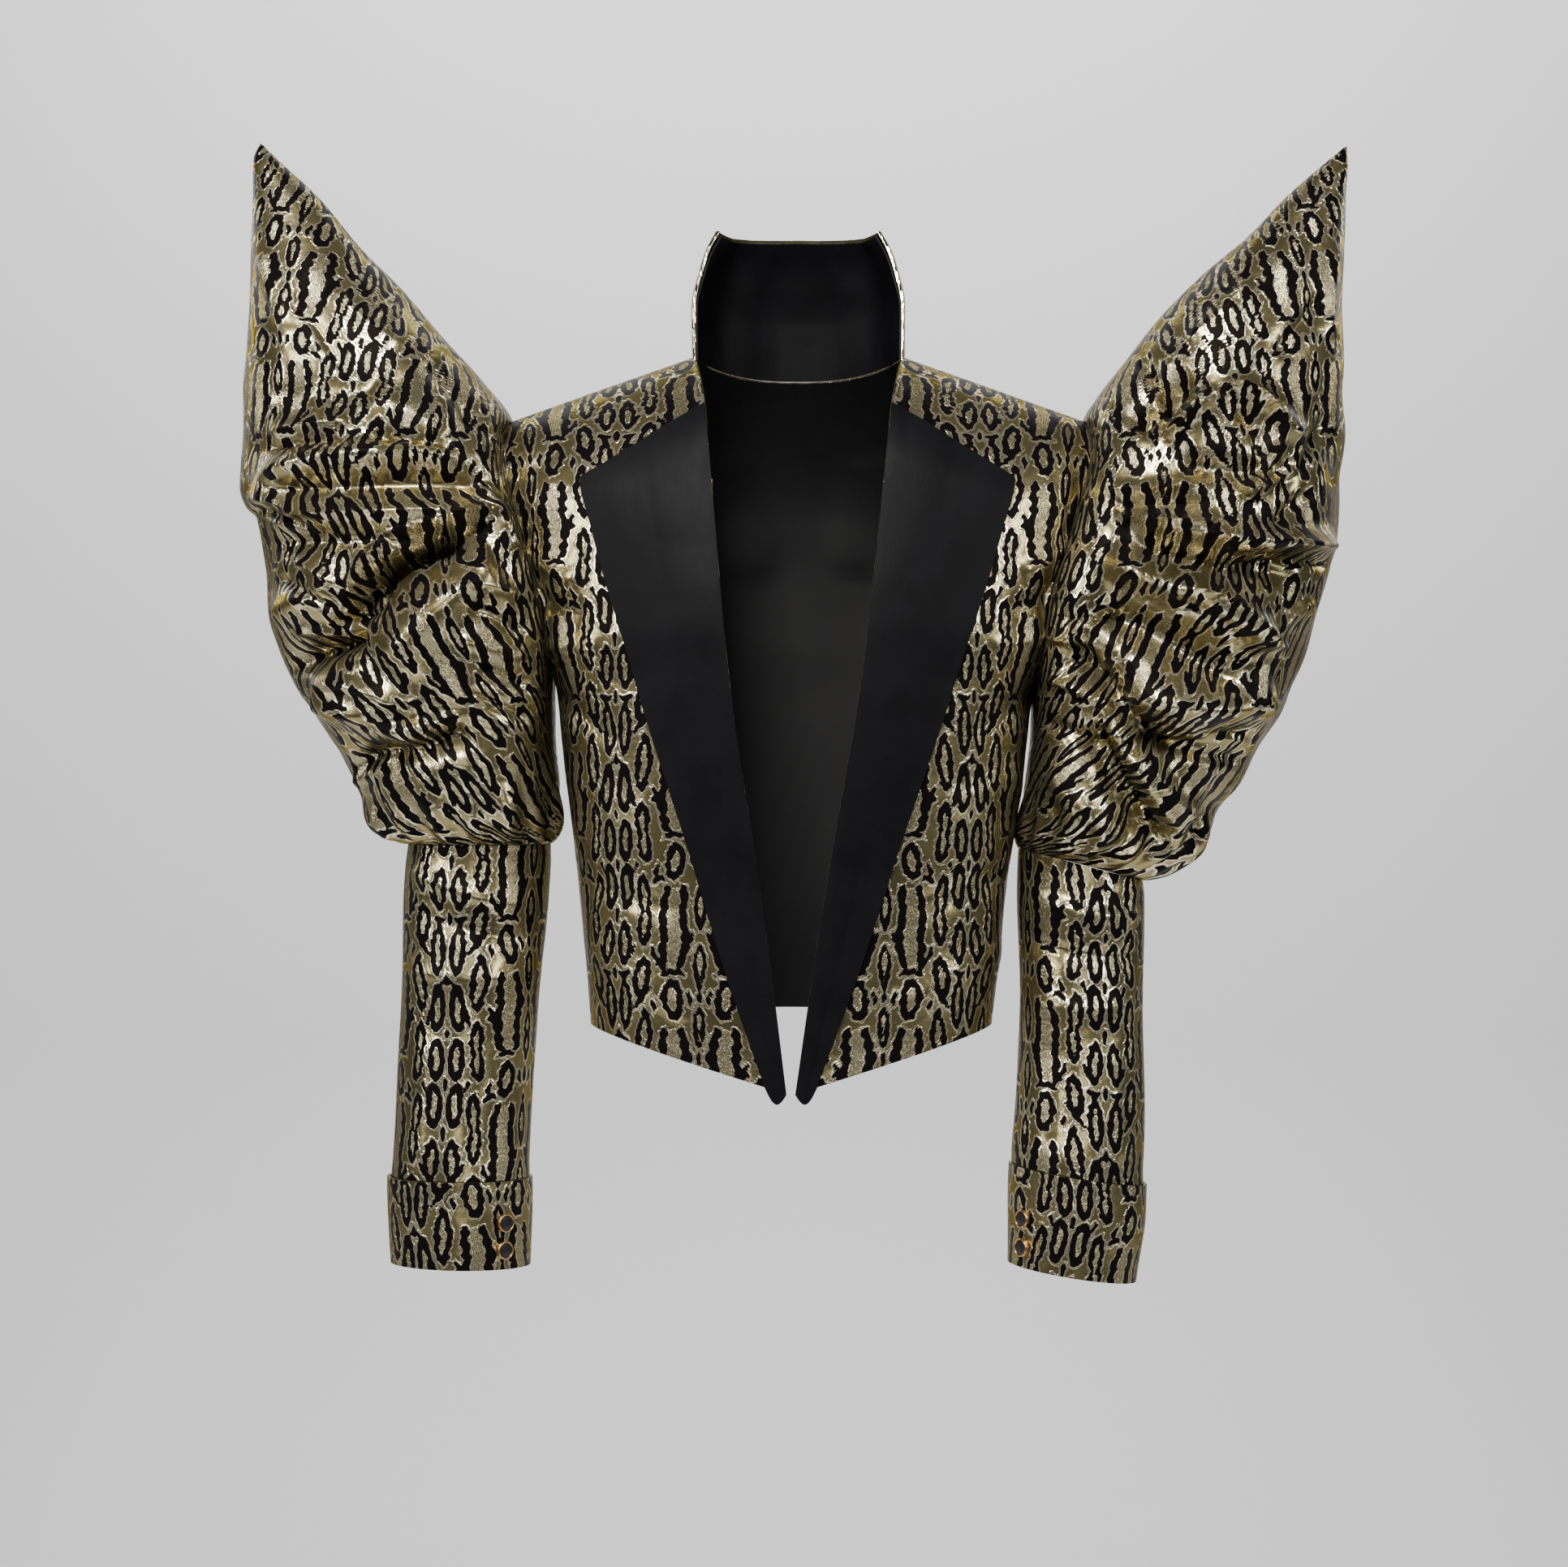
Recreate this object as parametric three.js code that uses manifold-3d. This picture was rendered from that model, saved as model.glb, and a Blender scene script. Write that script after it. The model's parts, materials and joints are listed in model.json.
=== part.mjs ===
// Cropped court jacket with horned leg-of-mutton sleeves, standing as it does when it is worn.
// Units are millimetres. +Z is up, the front faces -Y, and +X is the wearer's left.
// The origin is at the middle of the neck, level with the points where the shoulder seams meet the neckline.
// Every piece of cloth is a wall: a sheet of outer points, and the same points moved inwards along their normals.
import * as THREE from "three";
import Module from "manifold-3d";

const wasm = await Module();
wasm.setup();

// Driving sizes.
const CLOTH = 2; // jacquard with its lining
const SATIN = 1.5; // lapel with its interlining
const FACING = 1; // black cloth inside the collar
const SEAM = 0.3; // gap between two pieces at a seam
const HALF_SEAM = 0.2; // what a shoulder or side seam keeps from the seam's plane
const SWAY = 0.011; // the body leans to the wearer's right by this much for each millimetre down
const NECK_HALF = 74; // from the middle to the neck end of the shoulder seam
const SHOULDER_HALF = 204; // from the middle to the sleeve end of the shoulder seam
const SHOULDER_DROP = 46; // the shoulder seam falls by this much
const NECK_RISE = 41; // the body under the collar rises by this much from the neck points to the middle
const CHEST_ROUND = 2.5; // superellipse power of a level section through the body
const FRONT_ROLL = 85; // height over which the front turns back into the shoulder seam
const BACK_ROLL = 150; // the same for the back at the middle
const BACK_ROLL_LOSS = 50; // how much shorter the back's roll is at the sleeve
const NECKLINE_POWER = 2.5; // how squarely the back neckline curves

// Level sections through the body: half width, and depth before and behind the side seams.
const TORSO = [
  { z: -545, half: 139, front: 96, back: 84 },
  { z: -475, half: 143, front: 100, back: 88 },
  { z: -400, half: 150.5, front: 105, back: 92 },
  { z: -335, half: 158, front: 112, back: 98 },
  { z: -265, half: 167, front: 118, back: 106 },
  { z: -235, half: 171, front: 120, back: 110 },
  { z: -205, half: 184, front: 120, back: 113 },
  { z: -176, half: 192, front: 117, back: 116 },
  { z: -150, half: 199, front: 112, back: 117 },
  { z: -112, half: 210, front: 103, back: 116 },
  { z: -77, half: 222, front: 91, back: 112 },
  { z: -46, half: 232, front: 80, back: 106 },
  { z: 0, half: 240, front: 62, back: 95 },
];

// Rows of a front, from the hem to the shoulder seam: the free edge where the lapel rolls, the lapel's outer edge,
// and the side seam or armhole, which runs on a little into the sleeve and is trimmed by it.
const FRONT_ROWS = [
  { edgeX: 3, edgeZ: -519, lapelX: 18, lapelZ: -514, sideX: 143, sideZ: -475 },
  { edgeX: 15.5, edgeZ: -426, lapelX: 48, lapelZ: -428, sideX: 150.5, sideZ: -400 },
  { edgeX: 29, edgeZ: -337, lapelX: 77, lapelZ: -335, sideX: 158, sideZ: -335 },
  { edgeX: 41, edgeZ: -265, lapelX: 103, lapelZ: -255, sideX: 167, sideZ: -265 },
  { edgeX: 48, edgeZ: -210, lapelX: 116, lapelZ: -213, sideX: 171, sideZ: -235 },
  { edgeX: 54, edgeZ: -150, lapelX: 130, lapelZ: -170, sideX: 182, sideZ: -190 },
  { edgeX: 60, edgeZ: -88, lapelX: 141, lapelZ: -130, sideX: 192, sideZ: -150 },
  { edgeX: 65, edgeZ: -41, lapelX: 150, lapelZ: -93, sideX: 203, sideZ: -112 },
  { edgeX: 69, edgeZ: -20, lapelX: 149, lapelZ: -58, sideX: 213, sideZ: -80 },
  { edgeX: 74, edgeZ: 0, lapelX: 146, lapelZ: -25.5, sideX: 212, sideZ: -48.8 },
];
const GORGE_ROW = 7; // the row along the lapel's top edge
const LAPEL_TIP = 9; // the lapel's point hangs this far below the front's hem

// Rows of the back: height at the middle, the line below the neck point, and the side seam or armhole.
const BACK_ROWS = [
  { midZ: -470, neckX: 50, neckZ: -472, sideX: 143, sideZ: -475 },
  { midZ: -400, neckX: 53, neckZ: -400, sideX: 150.5, sideZ: -400 },
  { midZ: -335, neckX: 57, neckZ: -335, sideX: 158, sideZ: -335 },
  { midZ: -265, neckX: 61, neckZ: -265, sideX: 167, sideZ: -265 },
  { midZ: -215, neckX: 64, neckZ: -215, sideX: 171, sideZ: -235 },
  { midZ: -160, neckX: 67, neckZ: -160, sideX: 182, sideZ: -190 },
  { midZ: -105, neckX: 69, neckZ: -105, sideX: 192, sideZ: -150 },
  { midZ: -60, neckX: 72, neckZ: -50, sideX: 203, sideZ: -112 },
  { midZ: -28, neckX: 73, neckZ: -20, sideX: 213, sideZ: -80 },
  { midZ: -10, neckX: 74, neckZ: 0, sideX: 212, sideZ: -48.8 },
];
const YOKE_ROW = 7; // rows above this one crowd towards the shoulder seam

// The stand collar: how far it leans out at each share of its height.
const COLLAR = [
  { share: 0, out: 0 },
  { share: 0.4, out: 0.5 },
  { share: 0.7, out: -5 },
  { share: 0.85, out: -9.5 },
  { share: 1, out: -17 },
];
const COLLAR_TOP = { front: 90, back: 92 };
const COLLAR_RAKE = 22; // its front edge leans back by this much at the top

// Rings of an upper sleeve, from the horn's point to the elbow seam: the outermost and innermost points seen from the
// front, the depth before and behind, and how square the inner half is.
const RIGHT_PUFF = [
  { outX: -385, outZ: 153, inX: -384, inZ: 153, front: 0, back: 0, square: 2 },
  { outX: -390, outZ: 140, inX: -371, inZ: 140, front: 10, back: 10, square: 2 },
  { outX: -391, outZ: 113, inX: -342, inZ: 113, front: 24, back: 24, square: 2 },
  { outX: -391.5, outZ: 78, inX: -313, inZ: 78, front: 40, back: 40, square: 2 },
  { outX: -392, outZ: 49, inX: -284, inZ: 49, front: 52, back: 52, square: 2 },
  { outX: -393, outZ: 15, inX: -255, inZ: 15, front: 66, back: 66, square: 2 },
  { outX: -394, outZ: -17, inX: -226, inZ: -17, front: 77, back: 77, square: 2.2 },
  { outX: -395, outZ: -46, inX: -205, inZ: -46, front: 85, back: 85, square: 3 },
  { outX: -395, outZ: -62, inX: -208, inZ: -62, front: 88, back: 88, square: 3.8 },
  { outX: -396, outZ: -77, inX: -207, inZ: -77, front: 92, back: 90, square: 4.3 },
  { outX: -397, outZ: -93, inX: -203, inZ: -93, front: 95, back: 92, square: 4.5 },
  { outX: -393, outZ: -107, inX: -200, inZ: -107, front: 96, back: 94, square: 4.5 },
  { outX: -385, outZ: -116, inX: -197, inZ: -116, front: 96, back: 95, square: 4.5 },
  { outX: -381, outZ: -128, inX: -193, inZ: -128, front: 98, back: 95, square: 4.5 },
  { outX: -378, outZ: -151, inX: -186, inZ: -151, front: 100, back: 96, square: 4.5 },
  { outX: -375, outZ: -186, inX: -177, inZ: -186, front: 99, back: 95, square: 4.3 },
  { outX: -369, outZ: -209, inX: -175, inZ: -209, front: 97, back: 94, square: 4 },
  { outX: -356, outZ: -238, inX: -175, inZ: -238, front: 95, back: 92, square: 3.4 },
  { outX: -347, outZ: -252, inX: -174.5, inZ: -252, front: 92, back: 90, square: 3 },
  { outX: -336, outZ: -270, inX: -174, inZ: -270, front: 89, back: 87, square: 2.6 },
  { outX: -324, outZ: -290, inX: -172.5, inZ: -290, front: 84, back: 82, square: 2.4 },
  { outX: -317, outZ: -303, inX: -171, inZ: -303, front: 80, back: 78, square: 2.3 },
  { outX: -310, outZ: -319, inX: -170.5, inZ: -319, front: 74, back: 72, square: 2.2 },
  { outX: -304, outZ: -333, inX: -172, inZ: -332, front: 67, back: 66, square: 2.1 },
  { outX: -288, outZ: -343, inX: -175, inZ: -342, front: 58, back: 58, square: 2 },
  { outX: -279, outZ: -348, inX: -177, inZ: -348, front: 52, back: 52, square: 2 },
];
const LEFT_PUFF = [
  { outX: 392, outZ: 151, inX: 391, inZ: 151, front: 0, back: 0, square: 2 },
  { outX: 393, outZ: 136, inX: 373, inZ: 136, front: 10, back: 10, square: 2 },
  { outX: 391, outZ: 114, inX: 348, inZ: 114, front: 22, back: 22, square: 2 },
  { outX: 390, outZ: 86, inX: 321, inZ: 86, front: 37, back: 37, square: 2 },
  { outX: 389, outZ: 60, inX: 290, inZ: 60, front: 50, back: 50, square: 2 },
  { outX: 388, outZ: 28, inX: 258, inZ: 28, front: 62, back: 62, square: 2 },
  { outX: 388, outZ: -5, inX: 232, inZ: -5, front: 74, back: 74, square: 2.2 },
  { outX: 387, outZ: -28, inX: 214, inZ: -28, front: 80, back: 80, square: 2.5 },
  { outX: 387, outZ: -46, inX: 204, inZ: -46, front: 85, back: 85, square: 3 },
  { outX: 387, outZ: -62, inX: 206, inZ: -62, front: 88, back: 88, square: 3.8 },
  { outX: 387, outZ: -77, inX: 205, inZ: -77, front: 92, back: 90, square: 4.3 },
  { outX: 387, outZ: -94, inX: 200.5, inZ: -94, front: 95, back: 92, square: 4.5 },
  { outX: 386, outZ: -115, inX: 194, inZ: -115, front: 97, back: 94, square: 4.5 },
  { outX: 385, outZ: -136, inX: 187, inZ: -136, front: 99, back: 95, square: 4.5 },
  { outX: 381, outZ: -151, inX: 181, inZ: -151, front: 100, back: 96, square: 4.5 },
  { outX: 371, outZ: -181, inX: 172, inZ: -181, front: 100, back: 96, square: 4.3 },
  { outX: 362, outZ: -211, inX: 168.5, inZ: -211, front: 97, back: 94, square: 4 },
  { outX: 353, outZ: -236, inX: 167.2, inZ: -236, front: 95, back: 92, square: 3.4 },
  { outX: 344, outZ: -256, inX: 167, inZ: -253, front: 92, back: 90, square: 3 },
  { outX: 330, outZ: -278, inX: 166, inZ: -272, front: 88, back: 86, square: 2.6 },
  { outX: 311, outZ: -307, inX: 163, inZ: -297, front: 80, back: 78, square: 2.4 },
  { outX: 298, outZ: -323, inX: 161, inZ: -311, front: 75, back: 73, square: 2.2 },
  { outX: 295, outZ: -336, inX: 160, inZ: -322, front: 69, back: 67, square: 2.2 },
  { outX: 289, outZ: -349, inX: 159, inZ: -333, front: 63, back: 61, square: 2.1 },
  { outX: 266, outZ: -364, inX: 158, inZ: -344, front: 55, back: 54, square: 2 },
  { outX: 246, outZ: -374, inX: 157, inZ: -351, front: 47, back: 47, square: 2 },
];

// Folds of an upper sleeve: a curved line seen from the front or the back, its half width, and its height,
// which is negative for a trough.
const RIGHT_FOLDS = [
  { side: -1, x0: -380, z0: -92, xm: -320, zm: -74, x1: -228, z1: -80, width: 8, height: 7 },
  { side: -1, x0: -380, z0: -104, xm: -300, zm: -96, x1: -205, z1: -97, width: 9, height: -7 },
  { side: -1, x0: -380, z0: -117, xm: -290, zm: -118, x1: -204, z1: -116, width: 8, height: 7 },
  { side: -1, x0: -372, z0: -136, xm: -310, zm: -140, x1: -232, z1: -128, width: 9, height: -9 },
  { side: -1, x0: -226, z0: -134, xm: -275, zm: -146, x1: -320, z1: -196, width: 12, height: -17 },
  { side: -1, x0: -205, z0: -152, xm: -246, zm: -176, x1: -288, z1: -226, width: 22, height: 14 },
  { side: -1, x0: -360, z0: -224, xm: -330, zm: -214, x1: -298, z1: -206, width: 9, height: -12 },
  { side: -1, x0: -370, z0: -188, xm: -348, zm: -180, x1: -322, z1: -168, width: 13, height: 8 },
  { side: -1, x0: -345, z0: -245, xm: -300, zm: -248, x1: -250, z1: -284, width: 15, height: 11 },
  { side: -1, x0: -318, z0: -294, xm: -270, zm: -284, x1: -220, z1: -268, width: 9, height: -11 },
  { side: -1, x0: -228, z0: -184, xm: -208, zm: -190, x1: -188, z1: -202, width: 7, height: -7 },
  { side: -1, x0: -222, z0: -226, xm: -202, zm: -230, x1: -182, z1: -240, width: 7, height: -7 },
  { side: -1, x0: -372, z0: -40, xm: -330, zm: -28, x1: -262, z1: -30, width: 16, height: -5 },
  { side: 1, x0: -380, z0: -100, xm: -300, zm: -88, x1: -210, z1: -96, width: 10, height: 8 },
  { side: 1, x0: -378, z0: -124, xm: -300, zm: -112, x1: -206, z1: -118, width: 10, height: -8 },
  { side: 1, x0: -370, z0: -160, xm: -300, zm: -142, x1: -200, z1: -150, width: 14, height: 11 },
  { side: 1, x0: -362, z0: -198, xm: -290, zm: -184, x1: -200, z1: -182, width: 11, height: -12 },
  { side: 1, x0: -345, z0: -236, xm: -290, zm: -214, x1: -205, z1: -214, width: 14, height: 11 },
  { side: 1, x0: -330, z0: -270, xm: -270, zm: -256, x1: -200, z1: -252, width: 10, height: -11 },
];
const LEFT_FOLDS = [
  { side: -1, x0: 250, z0: -66, xm: 272, zm: -48, x1: 294, z1: -32, width: 7, height: 9 },
  { side: -1, x0: 228, z0: -58, xm: 250, zm: -38, x1: 276, z1: -20, width: 10, height: -12 },
  { side: -1, x0: 296, z0: -33, xm: 332, zm: -38, x1: 350, z1: -70, width: 9, height: 7 },
  { side: -1, x0: 262, z0: -82, xm: 300, zm: -92, x1: 350, z1: -88, width: 10, height: -7 },
  { side: -1, x0: 227, z0: -124, xm: 290, zm: -142, x1: 383, z1: -136, width: 8, height: 8 },
  { side: -1, x0: 224, z0: -142, xm: 290, zm: -164, x1: 360, z1: -158, width: 10, height: -11 },
  { side: -1, x0: 200, z0: -156, xm: 268, zm: -182, x1: 352, z1: -222, width: 18, height: 15 },
  { side: -1, x0: 182, z0: -208, xm: 214, zm: -230, x1: 254, z1: -264, width: 10, height: -11 },
  { side: -1, x0: 215, z0: -246, xm: 286, zm: -256, x1: 338, z1: -246, width: 15, height: 11 },
  { side: -1, x0: 214, z0: -279, xm: 268, zm: -280, x1: 322, z1: -270, width: 8, height: -8 },
  { side: -1, x0: 194, z0: -264, xm: 214, zm: -306, x1: 252, z1: -352, width: 11, height: -11 },
  { side: -1, x0: 212, z0: -262, xm: 238, zm: -300, x1: 270, z1: -344, width: 13, height: 11 },
  { side: -1, x0: 176, z0: -292, xm: 200, zm: -322, x1: 232, z1: -346, width: 11, height: 7 },
  { side: -1, x0: 178, z0: -218, xm: 196, zm: -226, x1: 214, z1: -240, width: 7, height: -7 },
  { side: 1, x0: 380, z0: -104, xm: 300, zm: -90, x1: 210, z1: -98, width: 10, height: 8 },
  { side: 1, x0: 378, z0: -130, xm: 300, zm: -116, x1: 206, z1: -122, width: 10, height: -8 },
  { side: 1, x0: 366, z0: -166, xm: 300, zm: -146, x1: 198, z1: -152, width: 14, height: 11 },
  { side: 1, x0: 356, z0: -204, xm: 290, zm: -186, x1: 196, z1: -186, width: 11, height: -12 },
  { side: 1, x0: 340, z0: -240, xm: 286, zm: -222, x1: 200, z1: -216, width: 14, height: 11 },
  { side: 1, x0: 316, z0: -280, xm: 262, zm: -262, x1: 190, z1: -252, width: 10, height: -11 },
];
// The armhole seen from the side: places across the body where the sleeve is sewn on, from the underarm up.
const ARMHOLE = [
  { x: 171, z: -231 },
  { x: 172, z: -215 },
  { x: 175, z: -179 },
  { x: 184, z: -150 },
  { x: 195, z: -117 },
  { x: 206, z: -77 },
  { x: 206, z: -60 },
  { x: 204, z: -51 },
];
const ARMHOLE_INSET = 3.5; // the way through the armhole lies this far inside the body's outer face
const ARM_TUNNEL = { from: 150, to: 220 }; // how far across the body the way through runs
const HORN_TIP = 8; // cloth in the very point of the horn

// Gathers drawn into the elbow seam.
const GATHERS = { count: 11, height: 6, reach: 46 };

// Rings of a lower sleeve and of a cuff, from the elbow seam to the wrist, as for an upper sleeve.
const RIGHT_SLEEVE = [
  { outX: -279, outZ: -348.3, inX: -177, inZ: -348.3, front: 52, back: 52, middle: 0 },
  { outX: -283, outZ: -402, inX: -180, inZ: -402, front: 51, back: 51, middle: -3 },
  { outX: -284, outZ: -470, inX: -186, inZ: -470, front: 49, back: 49, middle: -8 },
  { outX: -286, outZ: -524, inX: -190, inZ: -524, front: 48, back: 48, middle: -13 },
  { outX: -289, outZ: -582, inX: -191, inZ: -583, front: 48, back: 48, middle: -18 },
];
const LEFT_SLEEVE = [
  { outX: 246, outZ: -374.3, inX: 157, inZ: -351.3, front: 47, back: 47, middle: 0 },
  { outX: 246, outZ: -412, inX: 155, inZ: -396, front: 47, back: 47, middle: -3 },
  { outX: 245, outZ: -470, inX: 157, inZ: -458, front: 47, back: 47, middle: -8 },
  { outX: 245, outZ: -524, inX: 155, inZ: -512, front: 47, back: 47, middle: -13 },
  { outX: 244.5, outZ: -588, inX: 151, inZ: -573, front: 48, back: 48, middle: -18 },
];
const RIGHT_CUFF = [
  { outX: -292, outZ: -582.6, inX: -189, inZ: -583.6, front: 50, back: 50, middle: -18 },
  { outX: -291.5, outZ: -602, inX: -188.5, inZ: -603, front: 50, back: 50, middle: -19 },
  { outX: -289, outZ: -643, inX: -190, inZ: -645, front: 48, back: 48, middle: -22 },
];
const LEFT_CUFF = [
  { outX: 247, outZ: -588.6, inX: 149, inZ: -573.6, front: 50, back: 50, middle: -18 },
  { outX: 246.5, outZ: -610, inX: 148.5, inZ: -594, front: 50, back: 50, middle: -19 },
  { outX: 239, outZ: -657, inX: 148, inZ: -643, front: 47, back: 47, middle: -22 },
];

// Buttons: disc with a raised rim, two on each cuff, one above the other.
const BUTTON = { radius: 6.5, thick: 3, rim: 1.1, rimRise: 0.6, facets: 16 };
const BUTTON_ROWS = [
  { name: "right_button_upper", cuff: "right", turn: 131, z: -612 },
  { name: "right_button_lower", cuff: "right", turn: 131, z: -631 },
  { name: "left_button_upper", cuff: "left", turn: 143, z: -610 },
  { name: "left_button_lower", cuff: "left", turn: 143, z: -630 },
];

// Colours.
const GOLD = { color: 0xa39a68, roughness: 0.38, metalness: 0.7 };
const BLACK_SATIN = { color: 0x18181c, roughness: 0.55, metalness: 0 };
const BUTTON_GOLD = { color: 0xc09050, roughness: 0.3, metalness: 0.9 };

// How finely each piece is divided.
const FRONT_STEPS = { below: 12, above: 6, lapel: 4, side: 6 };
const BACK_STEPS = { below: 12, above: 6, neck: 6, side: 6 };
const COLLAR_STEPS = { front: 2, up: 5 };
const PUFF_AROUND = 44;
const TUBE_AROUND = 24;
const RING_SAMPLES = 288;
const BEZIER_STEPS = 10;
const FOLD_FACING = 1.6; // folds lose height where the sleeve's face turns sideways, faster with a smaller value

const lerp = (a, b, t) => a + (b - a) * t;
const clamp = (v, low, high) => Math.min(high, Math.max(low, v));
const quarter = (t) => Math.sin((t * Math.PI) / 2);

// Smooth value of one column of a table at the place t, where the rows stand at the places given. The curve passes
// through every row and never swings past it.
function along(table, places, column, t) {
  const last = table.length - 1;
  const at = clamp(t, Math.min(places[0], places[last]), Math.max(places[0], places[last]));
  const i = clamp(places.findIndex((p, k) => k < last && at >= p && at <= places[k + 1]), 0, last - 1);
  const value = (k) => table[k][column];
  const slope = (k) => (value(k + 1) - value(k)) / (places[k + 1] - places[k]);
  const tangent = (k) => {
    if (k === 0) return slope(0);
    if (k === last) return slope(last - 1);
    const [a, b] = [slope(k - 1), slope(k)];
    return a * b <= 0 ? 0 : (2 * a * b) / (a + b);
  };
  const h = places[i + 1] - places[i];
  const s = (at - places[i]) / h;
  return (
    value(i) * (1 + 2 * s) * (1 - s) ** 2 +
    value(i + 1) * s * s * (3 - 2 * s) +
    h * tangent(i) * s * (1 - s) ** 2 -
    h * tangent(i + 1) * s * s * (1 - s)
  );
}
const TORSO_HEIGHTS = TORSO.map((row) => row.z);
const torso = (column, z) => along(TORSO, TORSO_HEIGHTS, column, z);
const rowOf = (table, t, column) => along(table, table.map((_, i) => i), column, t);

// Height of the shoulder seam above a place across the body, and of the neck inside it.
function shoulderHeight(x) {
  const a = Math.abs(x);
  if (a < NECK_HALF) return NECK_RISE * (1 - (a / NECK_HALF) ** 2);
  return (-SHOULDER_DROP * (a - NECK_HALF)) / (SHOULDER_HALF - NECK_HALF);
}

// The body's outer face: a rounded section that turns over into the shoulder seam. side is -1 in front, 1 behind.
function bodyPoint(x, z, side) {
  const a = Math.abs(x);
  const full = torso(side < 0 ? "front" : "back", z);
  const round = (1 - Math.min(1, a / torso("half", z)) ** CHEST_ROUND) ** (1 / CHEST_ROUND);
  const roll = side < 0 ? FRONT_ROLL : BACK_ROLL - (BACK_ROLL_LOSS * a) / SHOULDER_HALF;
  const turn = clamp((z - (shoulderHeight(a) - roll)) / roll, 0, 1);
  const depth = Math.max(HALF_SEAM, full * round * Math.sqrt(1 - turn * turn));
  return new THREE.Vector3(x + SWAY * z, side * depth, z);
}

// Normals of a sheet of points, from the differences between neighbours. turned flips them; around says that the
// columns close on themselves. flat(row, column) names the axis that a normal has to stay square to.
function normalsOf(sheet, { around = false, turned = 1, flat = () => null } = {}) {
  return sheet.map((row, r) =>
    row.map((_, c) => {
      const n = row.length;
      const west = around ? row[(c + n - 1) % n] : row[Math.max(0, c - 1)];
      const east = around ? row[(c + 1) % n] : row[Math.min(n - 1, c + 1)];
      const north = sheet[Math.min(sheet.length - 1, r + 1)][c];
      const south = sheet[Math.max(0, r - 1)][c];
      const normal = east.clone().sub(west).cross(north.clone().sub(south));
      const axis = flat(r, c);
      if (axis) normal[axis] = 0;
      return normal.normalize().multiplyScalar(turned);
    }),
  );
}

const moved = (sheet, normals, by) =>
  sheet.map((row, r) => row.map((p, c) => p.clone().addScaledVector(normals[r][c], by)));

// A manifold-3d solid from vertices and triangles, turned to face outwards.
function solidFrom(vertices, triangles) {
  const vertProperties = new Float32Array(vertices.flatMap((v) => [v.x, v.y, v.z]));
  const make = (list) =>
    new wasm.Manifold(new wasm.Mesh({ numProp: 3, vertProperties, triVerts: new Uint32Array(list.flat()) }));
  const made = make(triangles);
  return made.volume() >= 0 ? made : make(triangles.map(([a, b, c]) => [a, c, b]));
}

// The closed wall between two sheets. around closes the columns; pole says that the first row is one point.
function wallBetween(outer, inner, { around = false, pole = false } = {}) {
  const vertices = [];
  const number = [outer, inner].map((sheet) =>
    sheet.map((row, r) => {
      if (pole && r === 0) return row.map((p, c) => (c === 0 ? vertices.push(p) - 1 : vertices.length - 1));
      return row.map((p) => vertices.push(p) - 1);
    }),
  );
  const triangles = [];
  const quad = (a, b, c, d, turned = false) => {
    const face = (...corners) => triangles.push(turned ? corners.reverse() : corners);
    if (a !== b) face(a, b, c);
    if (c !== d && d !== a) face(a, c, d);
  };
  const rows = outer.length;
  const columns = outer[0].length;
  const next = (c) => (around ? (c + 1) % columns : c + 1);
  for (let c = 0; c < (around ? columns : columns - 1); c++) {
    for (let r = 0; r < rows - 1; r++) {
      number.forEach((v, k) => quad(v[r][c], v[r][next(c)], v[r + 1][next(c)], v[r + 1][c], k === 1));
    }
    const rim = (r, [a, b]) => quad(a[r][c], a[r][next(c)], b[r][next(c)], b[r][c]);
    rim(rows - 1, number);
    if (!pole) rim(0, [number[1], number[0]]);
  }
  if (!around)
    for (let r = 0; r < rows - 1; r++) {
      const end = (c, [a, b]) => quad(a[r][c], b[r][c], b[r + 1][c], a[r + 1][c]);
      end(columns - 1, number);
      end(0, [number[1], number[0]]);
    }
  return solidFrom(vertices, triangles);
}

// A tube's outer sheet as a filled body: pole at the first row, a fan of triangles across the last.
function filled(sheet) {
  const middle = new THREE.Vector3();
  const last = sheet[sheet.length - 1];
  last.forEach((p) => middle.addScaledVector(p, 1 / last.length));
  const vertices = [sheet[0][0], ...sheet.slice(1).flat(), middle];
  const n = last.length;
  const triangles = [];
  for (let c = 0; c < n; c++) {
    const d = (c + 1) % n;
    triangles.push([0, 1 + d, 1 + c]);
    for (let r = 0; r < sheet.length - 2; r++) {
      const [a, b] = [1 + r * n, 1 + (r + 1) * n];
      triangles.push([a + c, a + d, b + d], [a + c, b + d, b + c]);
    }
    const foot = 1 + (sheet.length - 2) * n;
    triangles.push([foot + c, foot + d, vertices.length - 1]);
  }
  return solidFrom(vertices, triangles);
}

const jacket = new THREE.Group();
jacket.name = "court_jacket";

// Adds a solid to the jacket as a named mesh.
function addPiece(name, solid, finish) {
  const { numProp, vertProperties, triVerts } = solid.getMesh();
  const points = [];
  for (let i = 0; i < vertProperties.length; i += numProp) points.push(...vertProperties.slice(i, i + 3));
  const geometry = new THREE.BufferGeometry();
  geometry.setAttribute("position", new THREE.Float32BufferAttribute(points, 3));
  geometry.setIndex([...triVerts]);
  geometry.computeVertexNormals();
  const mesh = new THREE.Mesh(geometry, new THREE.MeshStandardMaterial(finish));
  mesh.name = name;
  jacket.add(mesh);
}

// Row places of a panel: even below the turning row, and crowding towards the shoulder seam above it.
function rowPlaces(table, turning, steps) {
  const last = table.length - 1;
  const below = Array.from({ length: steps.below }, (_, i) => (turning * i) / steps.below);
  const above = Array.from({ length: steps.above + 1 }, (_, i) => lerp(turning, last, quarter(i / steps.above)));
  return [...below, ...above];
}

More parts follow.
